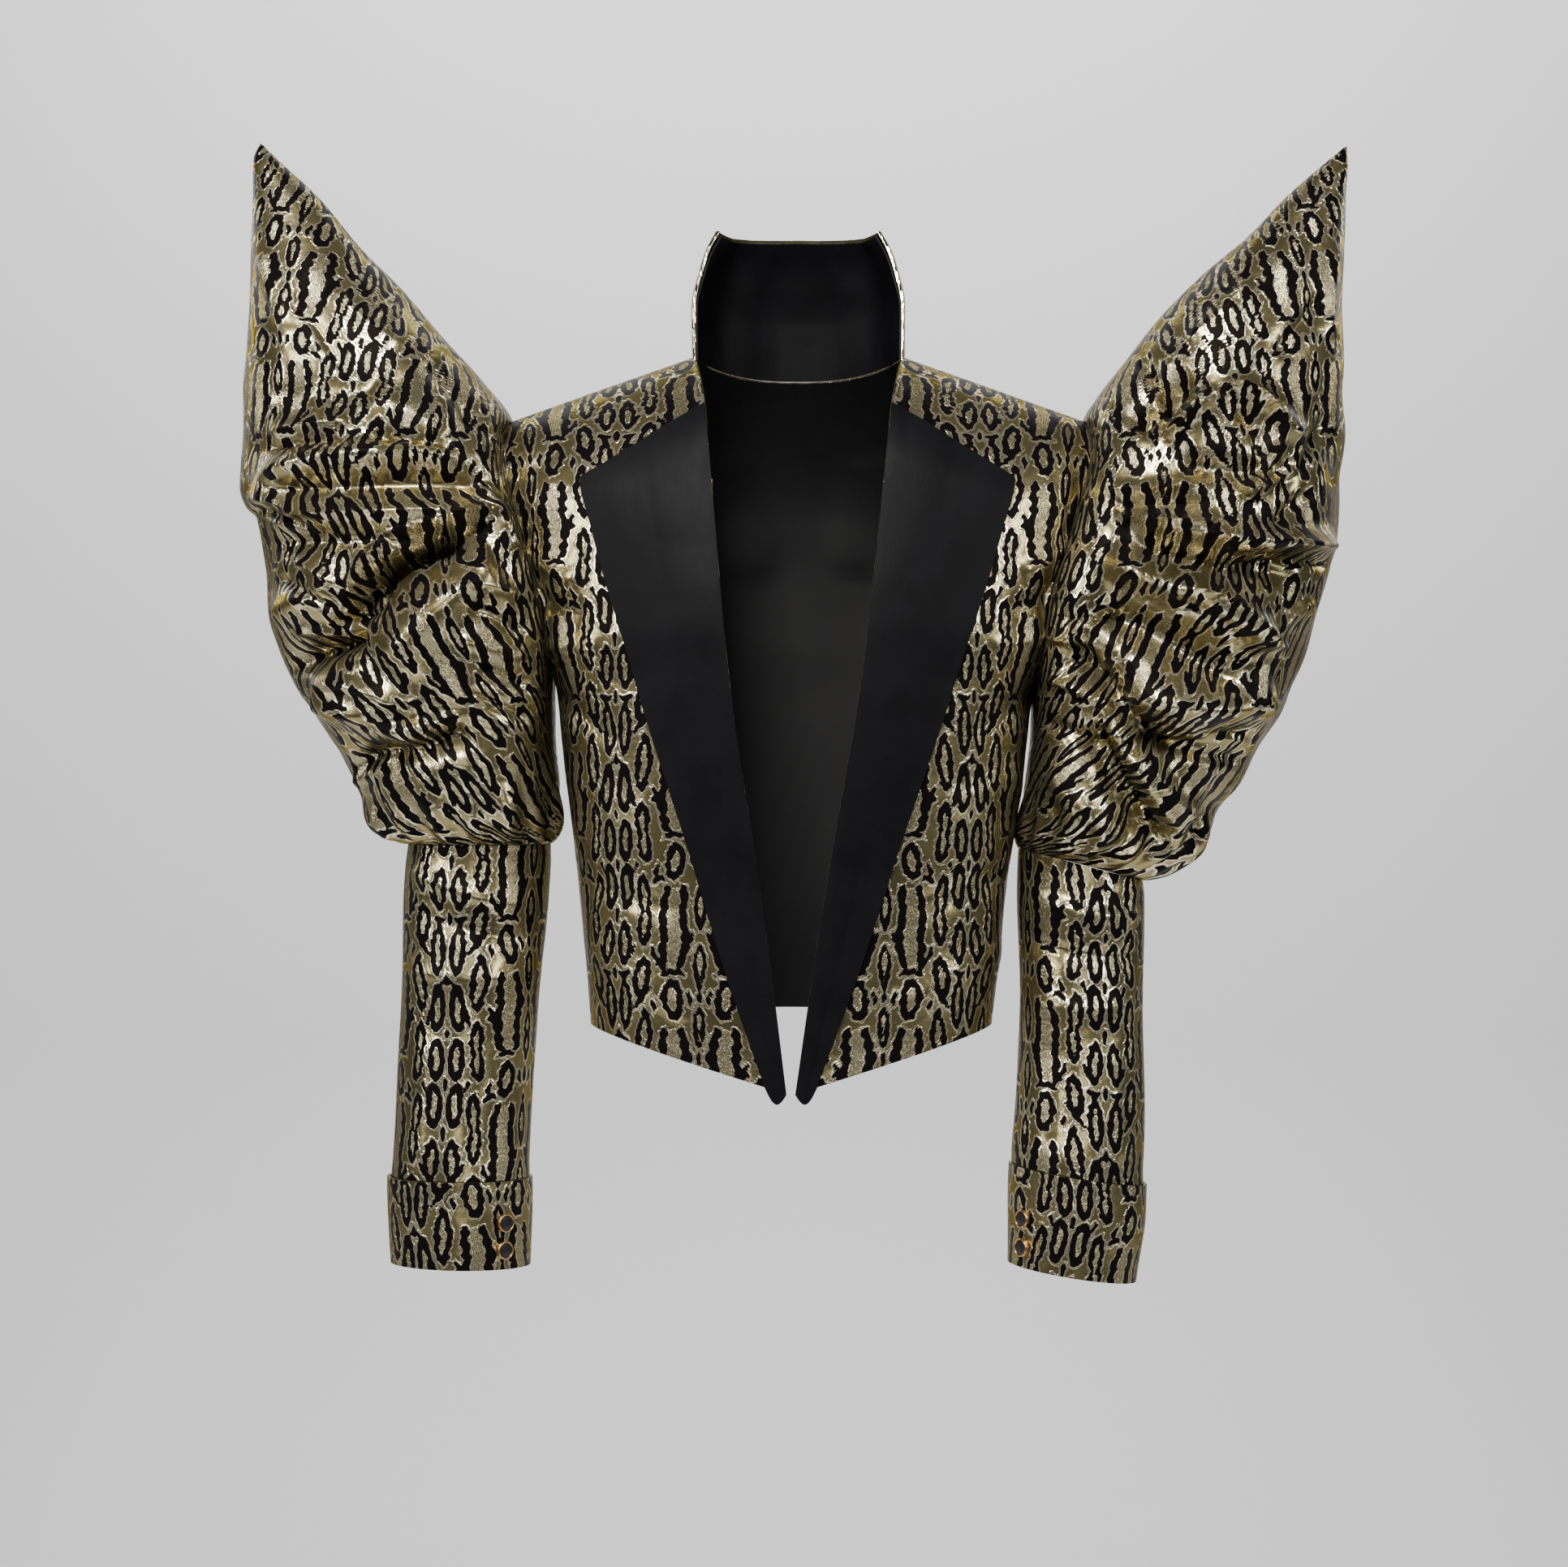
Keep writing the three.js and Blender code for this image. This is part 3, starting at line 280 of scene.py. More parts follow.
RIGHT_CREASES = table(
    FOLDS,
    (-1, -212, -122, -240, -140, -270, -149, 4.5, -4.5, 0.5),
    (-1, -266, -147, -290, -160, -289, -182, 4.5, -5, 0.5),
    (-1, -287, -178, -300, -197, -328, -192, 4.5, -5, 0.4),
    (-1, -300, -202, -322, -216, -352, -223, 4, -3.5, 0.3),
    (-1, -214, -113, -250, -126, -292, -132, 4, 3.5, 0.4),
    (-1, -284, -134, -306, -150, -312, -172, 5, 4, 0.3),
    (-1, -392, -104, -362, -104, -328, -122, 5, 4.5, 0.5),
    (-1, -390, -112, -366, -115, -340, -128, 4, -4, 0.3),
    (-1, -300, -34, -272, -46, -246, -66, 20, 4, 0),
    (-1, -262, -6, -244, -24, -222, -60, 9, -3, 0.2),
    (-1, -372, -62, -340, -52, -306, -56, 6, 2.6, 0.4),
    (-1, -376, -72, -342, -66, -312, -68, 4, -2.6, 0),
    (-1, -300, -64, -268, -70, -236, -72, 4, -2.4, 0),
    (-1, -222, -96, -206, -120, -196, -146, 5, 3, 0.2),
    (-1, -232, -166, -214, -172, -194, -176, 5, 3, 0.3),
    (-1, -236, -204, -212, -210, -188, -218, 5, 3, 0.3),
    (-1, -230, -243, -208, -250, -186, -262, 5, -3, 0.2),
    (-1, -352, -148, -332, -158, -318, -170, 4, 2.6, 0.3),
    (-1, -366, -160, -340, -172, -322, -186, 4, -2.6, 0.3),
    (-1, -354, -200, -336, -200, -312, -208, 4, 2.6, 0.2),
    (-1, -338, -232, -306, -232, -272, -250, 5, 2.8, 0.4),
    (-1, -306, -262, -270, -262, -230, -252, 5, -2.6, 0.2),
    (-1, -322, -306, -300, -300, -284, -288, 6, 3.4, 0.2),
    (-1, -360, 36, -330, 16, -318, -20, 8, -2.2, 0.2),
    (-1, -382, 70, -366, 40, -362, 6, 7, 2, 0.2),
    (-1, -330, 44, -304, 14, -270, -4, 8, 1.8, 0),
    (1, -376, -66, -330, -52, -260, -62, 6, 3, 0.3),
    (1, -380, -82, -330, -70, -270, -80, 5, -3, 0),
    (1, -300, -122, -262, -130, -222, -128, 5, 3.2, 0.3),
    (1, -366, -140, -322, -132, -280, -140, 5, -3.4, 0.2),
    (1, -300, -164, -262, -168, -214, -166, 5, -3.2, 0.2),
    (1, -352, -178, -310, -168, -272, -176, 5, 3, 0.3),
    (1, -310, -204, -262, -200, -214, -200, 5, 3, 0.3),
    (1, -336, -220, -300, -212, -262, -222, 4, -2.6, 0.2),
    (1, -300, -238, -262, -236, -210, -238, 5, -3, 0.2),
    (1, -318, -284, -284, -276, -236, -276, 6, 3.4, 0.2),
    (1, -352, 20, -326, 6, -300, -20, 8, -2.4, 0.2),
    (1, -378, 64, -364, 36, -358, 0, 7, 2, 0.2),
)
LEFT_FOLDS = table(
    FOLDS,
    (-1, 250, -66, 272, -48, 294, -32, 7, 12, -0.4),
    (-1, 228, -58, 250, -38, 276, -20, 11, -17, 0.2),
    (-1, 296, -33, 332, -38, 350, -70, 9, 7, 0.2),
    (-1, 262, -82, 300, -92, 350, -88, 10, -11, 0),
    (-1, 227, -124, 290, -142, 374, -136, 8, 12, 0.2),
    (-1, 224, -138, 290, -160, 350, -160, 11, -15, 0),
    (-1, 206, -150, 272, -174, 330, -212, 14, 21, 0.2),
    (-1, 200, -184, 256, -204, 312, -244, 14, -14, 0),
    (-1, 182, -204, 216, -236, 262, -300, 11, -17, 0),
    (-1, 215, -246, 286, -256, 338, -246, 15, 14, 0.2),
    (-1, 214, -279, 268, -280, 322, -270, 8, -12, 0),
    (-1, 194, -264, 214, -306, 252, -352, 11, -15, 0.2),
    (-1, 212, -262, 238, -300, 270, -344, 13, 11, 0.2),
    (-1, 176, -292, 200, -322, 232, -346, 11, 7, 0),
    (-1, 178, -218, 196, -226, 214, -240, 7, -7, 0),
    (1, 380, -104, 300, -90, 210, -98, 10, 8, 0.2),
    (1, 378, -130, 300, -116, 206, -122, 10, -8, 0),
    (1, 366, -166, 300, -146, 198, -152, 14, 11, 0.2),
    (1, 356, -204, 290, -186, 196, -186, 11, -12, 0),
    (1, 340, -240, 286, -222, 200, -216, 14, 11, 0.2),
    (1, 316, -280, 262, -262, 190, -252, 10, -11, 0),
)
LEFT_CREASES = table(
    FOLDS,
    (-1, 240, -2, 246, -30, 264, -56, 5, -5, 0.4),
    (-1, 257, -64, 270, -46, 287, -31, 4, 4, 0.5),
    (-1, 290, -28, 336, -32, 334, -72, 5, 4, 0.4),
    (-1, 300, -46, 320, -56, 318, -80, 5, -3.6, 0.3),
    (-1, 332, -66, 326, -92, 302, -106, 5, 3.4, 0.4),
    (-1, 302, -106, 324, -100, 348, -86, 4.5, 4, 0.4),
    (-1, 216, -121, 250, -126, 290, -128, 4, 4, 0.4),
    (-1, 214, -112, 250, -114, 284, -112, 4, -3, 0.3),
    (-1, 212, -102, 246, -102, 276, -98, 4, 3, 0.3),
    (-1, 290, -146, 340, -138, 386, -138, 4.5, 4, 0.4),
    (-1, 300, -156, 340, -150, 380, -152, 4, -3.6, 0.2),
    (-1, 262, -170, 306, -176, 320, -206, 5, 4, 0.4),
    (-1, 256, -180, 290, -186, 306, -210, 5, -4, 0.2),
    (-1, 314, -204, 326, -210, 340, -208, 4.5, 3, 0.2),
    (-1, 246, -282, 280, -290, 318, -288, 4.5, -3.6, 0.3),
    (-1, 240, -272, 276, -276, 320, -276, 5, 3, 0.3),
    (-1, 200, -262, 222, -300, 262, -352, 4.5, -4.5, 0.5),
    (-1, 224, -268, 250, -300, 276, -332, 5, 3, 0.3),
    (-1, 360, -100, 340, -112, 326, -128, 5, -3, 0.2),
    (-1, 374, -48, 358, -66, 352, -92, 6, -3, 0.2),
    (-1, 360, -176, 340, -186, 326, -200, 5, 2.6, 0.2),
    (-1, 174, -206, 190, -206, 206, -212, 4, 2.8, 0.3),
    (-1, 172, -232, 190, -238, 208, -250, 4, 2.8, 0.3),
    (-1, 170, -262, 186, -268, 200, -280, 4, -2.8, 0.3),
    (-1, 178, -190, 200, -190, 226, -196, 4.5, -2.8, 0.3),
    (-1, 372, 40, 350, 16, 330, -8, 8, -2.2, 0.2),
    (-1, 384, 80, 372, 44, 374, 4, 7, 2, 0.2),
    (-1, 318, 50, 296, 20, 270, 4, 8, 2, 0),
    (1, 376, -70, 330, -56, 262, -64, 6, 3, 0.3),
    (1, 380, -86, 330, -74, 272, -84, 5, -3, 0),
    (1, 300, -126, 262, -132, 222, -132, 5, 3.2, 0.3),
    (1, 366, -146, 322, -136, 280, -144, 5, -3.4, 0.2),
    (1, 300, -168, 262, -170, 212, -170, 5, -3.2, 0.2),
    (1, 352, -184, 310, -172, 272, -180, 5, 3, 0.3),
    (1, 310, -208, 262, -204, 208, -204, 5, 3, 0.3),
    (1, 330, -226, 296, -216, 262, -226, 4, -2.6, 0.2),
    (1, 296, -244, 258, -240, 206, -240, 5, -3, 0.2),
    (1, 306, -296, 276, -286, 226, -282, 6, 3.4, 0.2),
    (1, 350, 18, 326, 4, 300, -22, 8, -2.4, 0.2),
)
BODY_CREASES = table(
    FOLDS,
    (-1, -196, -140, -176, -156, -150, -166, 8, 2.2, 0.2),
    (-1, -188, -172, -168, -184, -146, -190, 7, -2, 0),
    (-1, -178, -206, -160, -214, -136, -214, 8, 2, 0.2),
    (-1, -172, -238, -150, -262, -120, -280, 9, -2.2, 0.2),
    (-1, -160, -300, -130, -318, -104, -330, 10, 2, 0.2),
    (-1, -154, -372, -120, -384, -80, -392, 11, -2, 0.2),
    (-1, -150, -420, -112, -440, -70, -470, 12, 2, 0.2),
    (-1, -196, -96, -184, -84, -166, -66, 9, -2, 0),
    (-1, 198, -132, 176, -148, 152, -160, 8, 2.2, 0.2),
    (-1, 188, -164, 168, -178, 146, -186, 7, -2, 0),
    (-1, 176, -200, 158, -208, 132, -212, 8, 2, 0.2),
    (-1, 170, -232, 148, -254, 118, -272, 9, -2.2, 0.2),
    (-1, 158, -296, 128, -312, 100, -322, 10, 2, 0.2),
    (-1, 150, -364, 118, -380, 76, -388, 11, -2, 0.2),
    (-1, 146, -414, 108, -436, 60, -462, 12, 2, 0.2),
    (1, -196, -140, -150, -170, -96, -176, 11, 3, 0.2),
    (1, -186, -186, -140, -206, -90, -214, 10, -2.8, 0.1),
    (1, -176, -232, -128, -252, -74, -262, 12, 3, 0.2),
    (1, -164, -300, -110, -322, -50, -330, 13, -3, 0.2),
    (1, -154, -372, -96, -386, -30, -380, 13, 2.6, 0.2),
    (1, 196, -134, 150, -164, 92, -178, 11, 3, 0.2),
    (1, 186, -180, 138, -202, 84, -208, 10, -2.8, 0.1),
    (1, 176, -228, 126, -248, 70, -256, 12, 3, 0.2),
    (1, 164, -296, 108, -316, 44, -332, 13, -3, 0.2),
    (1, 154, -366, 92, -380, 26, -392, 13, 2.6, 0.2),
    (1, -60, -60, -44, -100, -36, -150, 14, -2, 0),
    (1, 58, -64, 46, -104, 40, -146, 14, -2, 0),
)
TUBE_CREASES = table(
    FOLDS,
    (-1, -278, -366, -240, -384, -190, -392, 8, 2.6, 0.3),
    (-1, -274, -392, -232, -412, -186, -414, 8, -2.6, 0.2),
    (-1, -280, -432, -244, -446, -204, -440, 9, 1.8, 0.3),
    (-1, -216, -470, -228, -520, -222, -576, 10, -1.8, 0.2),
    (-1, -262, -480, -258, -530, -268, -578, 9, 1.6, 0.2),
    (1, -276, -370, -236, -380, -190, -376, 8, 2.6, 0.3),
    (1, -272, -404, -232, -410, -192, -402, 8, -2.4, 0.2),
    (1, -230, -450, -240, -510, -230, -570, 10, -1.8, 0.2),
    (-1, 244, -396, 210, -404, 166, -384, 8, 2.6, 0.3),
    (-1, 242, -424, 204, -430, 160, -414, 8, -2.6, 0.2),
    (-1, 240, -456, 206, -470, 166, -456, 9, 1.8, 0.3),
    (-1, 176, -480, 184, -520, 178, -566, 10, -1.8, 0.2),
    (-1, 222, -490, 218, -530, 226, -576, 9, 1.6, 0.2),
    (1, 240, -398, 204, -398, 164, -378, 8, 2.6, 0.3),
    (1, 238, -430, 200, -426, 162, -408, 8, -2.4, 0.2),
    (1, 196, -450, 206, -510, 198, -566, 10, -1.8, 0.2),
)

# Gathers above an elbow seam: place round the sleeve in degrees, width in degrees, height and reach.
GATHERS = table(
    "turn wide height reach",
    (8, 9, 4.5, 34),
    (31, 8, 5.5, 44),
    (54, 7, 4.8, 38),
    (76, 8, 6, 50),
    (99, 7, 5, 36),
    (120, 9, 6.2, 46),
    (144, 8, 4.6, 34),
    (168, 9, 5.6, 42),
    (193, 8, 4.8, 36),
    (215, 8, 6, 46),
    (238, 7, 4.6, 34),
    (262, 9, 6, 44),
    (286, 8, 5, 38),
    (309, 8, 5.8, 46),
    (334, 9, 4.8, 36),
)

BUTTON_ROWS = (
    ("right_button_upper", "right_cuff", 131, -612),
    ("right_button_lower", "right_cuff", 131, -631),
    ("left_button_upper", "left_cuff", 143, -610),
    ("left_button_lower", "left_cuff", 143, -630),
)
# A button's profile from its foot to the middle of its face: share of the radius, height, and 1 for metal.
BUTTON_PROFILE = np.array(
    [
        (0.0, 0.0, 1),
        (0.5, 0.0, 1),
        (0.9, 0.0, 1),
        (0.975, 0.25, 1),
        (1.0, 0.75, 1),
        (1.0, 2.3, 1),
        (0.985, 3.05, 1),
        (0.95, 3.45, 1),
        (0.9, 3.6, 1),
        (0.855, 3.5, 1),
        (0.83, 3.2, 1),
        (0.82, 2.85, 1),
        (0.81, 2.7, 0),
        (0.78, 2.72, 0),
        (0.6, 2.95, 0),
        (0.4, 3.1, 0),
        (0.2, 3.18, 0),
        (0.0, 3.2, 0),
    ]
)

# The repeat of the jacquard, half of it, mirrored at both sides: spots with a place, half width, half height, tilt in
# degrees, thickness of the black line, how far the waist is pulled in, and how pointed the ends are.
REPEAT_HALF, REPEAT_HIGH, REPEAT_SCALE = 62.0, 185.0, 1.03
LINE_GAIN = 1.16
SPOTS = table(
    "x y a b tilt line ends neck point",
    (7.1, 4, 6.1, 16.5, 2, 3.8, 6.5, 0, 0.3),
    (7.2, 42, 6.1, 16, -3, 3.8, 6.2, 0, 0.7),
    (7.0, 83, 6.2, 20, 3, 4.1, 8, 0, 1),
    (7.2, 123, 6.1, 16.5, -2, 3.8, 6.5, 0, 0.4),
    (7.1, 157.5, 6.0, 14.2, 3, 3.7, 5.8, 0, 0.2),
    (21.4, 20, 6.7, 25, -3, 4, 6.5, 0.42, 0.4),
    (21.3, 65, 6.5, 14.5, 7, 3.9, 6, 0, 0.2),
    (21.6, 106, 6.8, 21.5, 4, 4.2, 8, 0, 1),
    (21.3, 153, 6.7, 21, -4, 4, 6.5, 0.4, 0.4),
    (44.2, 79, 7.6, 14.5, -7, 4.2, 5.8, 0, 0.4),
    (43.8, 172, 7.4, 13.5, 8, 4.2, 5.8, 0, 0.6),
    (62, 18, 4.6, 15, 0, 3.1, 5.5, 0, 0.7),
    (62, 57, 4.9, 16.5, 0, 3.2, 6, 0, 1),
    (62, 98, 4.6, 15, 0, 3.1, 5.5, 0, 0.4),
    (62, 142, 4.9, 18, 0, 3.2, 6, 0.3, 0.7),
    (0, 23, 1.8, 5.2, 0, 9, 9, 0, 0.9),
    (0, 62.5, 1.7, 4.6, 0, 9, 9, 0, 0.9),
    (0, 104.5, 1.9, 5.2, 0, 9, 9, 0, 0.9),
    (0, 140.5, 1.6, 4.4, 0, 9, 9, 0, 0.9),
    (0, 174, 1.7, 4.8, 0, 9, 9, 0, 0.9),
    (14.2, 47, 1.7, 5, 10, 9, 9, 0, 0.8),
    (14, 131, 1.7, 5.2, -12, 9, 9, 0, 0.8),
    (14.2, 176, 1.8, 5, 8, 9, 9, 0, 0.8),
    (30.4, 50, 2, 6, -12, 9, 9, 0, 0.8),
    (30.6, 84, 1.8, 5.4, 10, 9, 9, 0, 0.8),
    (30.2, 128, 2, 6, -10, 9, 9, 0, 0.8),
    (30.6, 178, 1.9, 5.6, 12, 9, 9, 0, 0.8),
    (56, 37.5, 1.7, 5, 12, 9, 9, 0, 0.8),
    (55.6, 78, 1.8, 5.4, -10, 9, 9, 0, 0.8),
    (56, 119, 1.7, 5, 10, 9, 9, 0, 0.8),
    (56, 170, 1.8, 5.4, -12, 9, 9, 0, 0.8),
    (62, 77.5, 1.7, 4.4, 0, 9, 9, 0, 0.9),
    (62, 119, 1.7, 4.8, 0, 9, 9, 0, 0.9),
    (62, 168.5, 1.9, 5.6, 0, 9, 9, 0, 0.9),
    (62, 185, 1.7, 5, 0, 9, 9, 0, 0.9),
)
# Pairs of wavy bars with a scalloped middle: place, half height, spread, thickness, sway and waves in the length.
BARS = table(
    "x y b spread line sway waves",
    (43.4, 31, 28, 7.6, 4.8, 1.5, 1.5),
    (43.8, 125, 27, 7.8, 5, -1.4, 1.5),
)
# Short hooks that cross between the columns: a curved line and its half thickness.
HOOKS = table(
    "x0 y0 xm ym x1 y1 thick",
    (15, 85, 22, 80, 29, 72, 2.3),
    (2, 105, 8, 110, 15, 130, 2.1),
    (28, 132, 33, 130, 35, 146, 2.2),
    (12, 60, 8, 65, 3.5, 62, 1.9),
    (36, 62, 43, 58, 51, 63, 2.3),
    (36, 156, 42, 152, 50, 155, 2.2),
    (28, 2, 33, -4, 36, 0, 2.1),
)
SCALLOP = 8.4


# ------------------------------------------------------------------------------------------- curves and tables


def lerp(a, b, t):
    """From a to b in a straight line, as t goes from 0 to 1."""
    return a + (b - a) * t


def quarter(t):
    """Quarter of a sine wave: quick at first, still at the end."""
    return np.sin(np.asarray(t) * math.pi / 2)


def arc(start, middle, end, t):
    """Quadratic curve from the start to the end, pulled towards the middle."""
    return start * (1 - t) ** 2 + 2 * middle * t * (1 - t) + end * t * t


def ease(t):
    """Smooth step from 0 to 1: 3 t squared less 2 t cubed, held outside 0 to 1."""
    t = np.clip(t, 0, 1)
    return t * t * (3 - 2 * t)


def through(places, values, t):
    """Cubic through every row. Its tangents are the harmonic means of the slopes beside them, so it never swings past
    a row."""
    slopes = np.diff(values) / np.diff(places)
    before, after = slopes[:-1], slopes[1:]
    total = np.where(before + after == 0, 1, before + after)
    inner = np.where(before * after > 0, 2 * before * after / total, 0)
    tangents = np.concatenate([slopes[:1], inner, slopes[-1:]])
    t = np.clip(t, places[0], places[-1])
    i = np.clip(np.searchsorted(places, t, side="right") - 1, 0, len(places) - 2)
    h = places[i + 1] - places[i]
    s = (t - places[i]) / h
    return (
        values[i] * (1 + 2 * s) * (1 - s) ** 2
        + values[i + 1] * s * s * (3 - 2 * s)
        + h * tangents[i] * s * (1 - s) ** 2
        - h * tangents[i + 1] * s * s * (1 - s)
    )


def rows_at(rows, name, t):
    """A column of a table at fractional rows."""
    return through(np.arange(len(rows[name]), dtype=float), rows[name], t)


def columns_at(rows, names, t):
    """Several columns of a table at fractional rows, each standing as a column of a grid."""
    return [rows_at(rows, name, t)[:, None] for name in names.split()]


def running(lengths, axis=0):
    """Running sum of the lengths along an axis, from 0."""
    return np.concatenate([np.zeros_like(lengths.take([0], axis)), np.cumsum(lengths, axis=axis)], axis)


def even_places(path, count):
    """Places along a densely sampled path, evenly spaced by length."""
    lengths = running(np.linalg.norm(np.diff(path, axis=0), axis=1))
    return np.interp(np.linspace(0, lengths[-1], count), lengths, np.linspace(0, 1, len(path)))


def unit(v):
    """Vectors made 1 long."""
    return v / np.maximum(np.linalg.norm(v, axis=-1, keepdims=True), 1e-9)


def normals_of(grid, outward, around=False, flat=None):
    """Normals of a grid: the cross product of its two differences, turned to agree with the outward direction, and
    without their Y where flat is set."""
    if around:
        across = np.roll(grid, -1, axis=1) - np.roll(grid, 1, axis=1)
    else:
        across = np.gradient(grid, axis=1)
    normal = np.cross(across, np.gradient(grid, axis=0))
    if np.sum(normal * outward) < 0:
        normal = -normal
    if flat is not None:
        normal[flat, 1] = 0
    return unit(normal)


def crease_lift(creases, points, side, crest):
    """Height of the creases at each point: for each, a bell of the distance to its curved line, seen along Y, steeper
    on one flank and dying away towards both ends of the line. The crest is the share of a narrow ridge, with
    straighter flanks, in the bell."""
    x, z = points[..., 0], points[..., 2]
    lift = np.zeros(x.shape)
    steps = 14
    t = np.linspace(0, 1, steps + 1)
    for c in each_row(creases):
        cx, cz = arc(c["x0"], c["xm"], c["x1"], t), arc(c["z0"], c["zm"], c["z1"], t)
        reach = 3 * c["width"]
        near = (x > cx.min() - reach) & (x < cx.max() + reach) & (z > cz.min() - reach) & (z < cz.max() + reach)
        near &= side == c["side"]
        px, pz = x[near][:, None], z[near][:, None]
        ax, az, bx, bz = cx[:-1], cz[:-1], np.diff(cx), np.diff(cz)
        share = np.clip(((px - ax) * bx + (pz - az) * bz) / (bx * bx + bz * bz), 0, 1)
        dx, dz = px - ax - share * bx, pz - az - share * bz
        far = dx * dx + dz * dz
        best = np.argmin(far, axis=1)
        row = np.arange(len(best))
        distance = np.sqrt(far[row, best])
        flank = np.sign(bx[best] * dz[row, best] - bz[best] * dx[row, best])
        along = (best + share[row, best]) / steps
        taper = ease(along / 0.16) * ease((1 - along) / 0.16) * 0.9 + 0.1
        ratio = distance / (c["width"] * (1 + c["lean"] * flank))
        # 0.42 is 1.5 times the root of 0.08, so the ridge is about 1 high on the line itself.
        bell = lerp(np.exp(-(ratio**2)), np.exp(0.42 - 1.5 * np.sqrt(ratio**2 + 0.08)), crest)
        lift[near] += c["height"] * taper * bell
    return lift


def slow_waves(points, seed, size, height):
    """Soft unevenness: a sum of sine waves in random directions, none shorter than the size given."""
    rng = np.random.default_rng(seed)
    total = np.zeros(points.shape[:-1])
    for _ in range(9):
        direction = unit(rng.normal(size=3)) * 2 * math.pi / (size * rng.uniform(1, 2.4))
        total += rng.uniform(0.4, 1) * np.sin(points @ direction + rng.uniform(0, 2 * math.pi))
    return height * total / 3


def lowest_near(values, step, around):
    """Lowest value within a step on each side, for the lining that must stay inside every trough."""
    result = values
    for axis in (0, 1):
        last = values.shape[axis] - 1
        lowest = result
        for shift in range(-step, step + 1):
            if around and axis == 1:
                moved = np.roll(result, shift, axis=axis)
            else:
                moved = np.take(result, np.clip(np.arange(last + 1) - shift, 0, last), axis)
            lowest = np.minimum(lowest, moved)
        result = lowest
    return result


def ends_fade(count, first, last):
    """Column of shares that rise from 0 over the first rows and fall to 0 over the last ones."""
    rows = np.arange(count)
    return (ease(rows / first) * ease(rows[::-1] / last))[:, None]


# ------------------------------------------------------------------------------------------------ the jacquard


def lens(wide, high, power, rise, across, down):
    """Distance to the lens wide^power + high^rise = 1, roughly: that sum less 1, over the length of its gradient,
    with across and down the lens's half sizes in millimetres."""
    shape = wide**power + high**rise - 1
    slope = np.hypot(power * wide ** (power - 1) / across, rise * high ** (rise - 1) / down)
    return np.clip(shape / np.maximum(slope, 0.02), -12, 12)


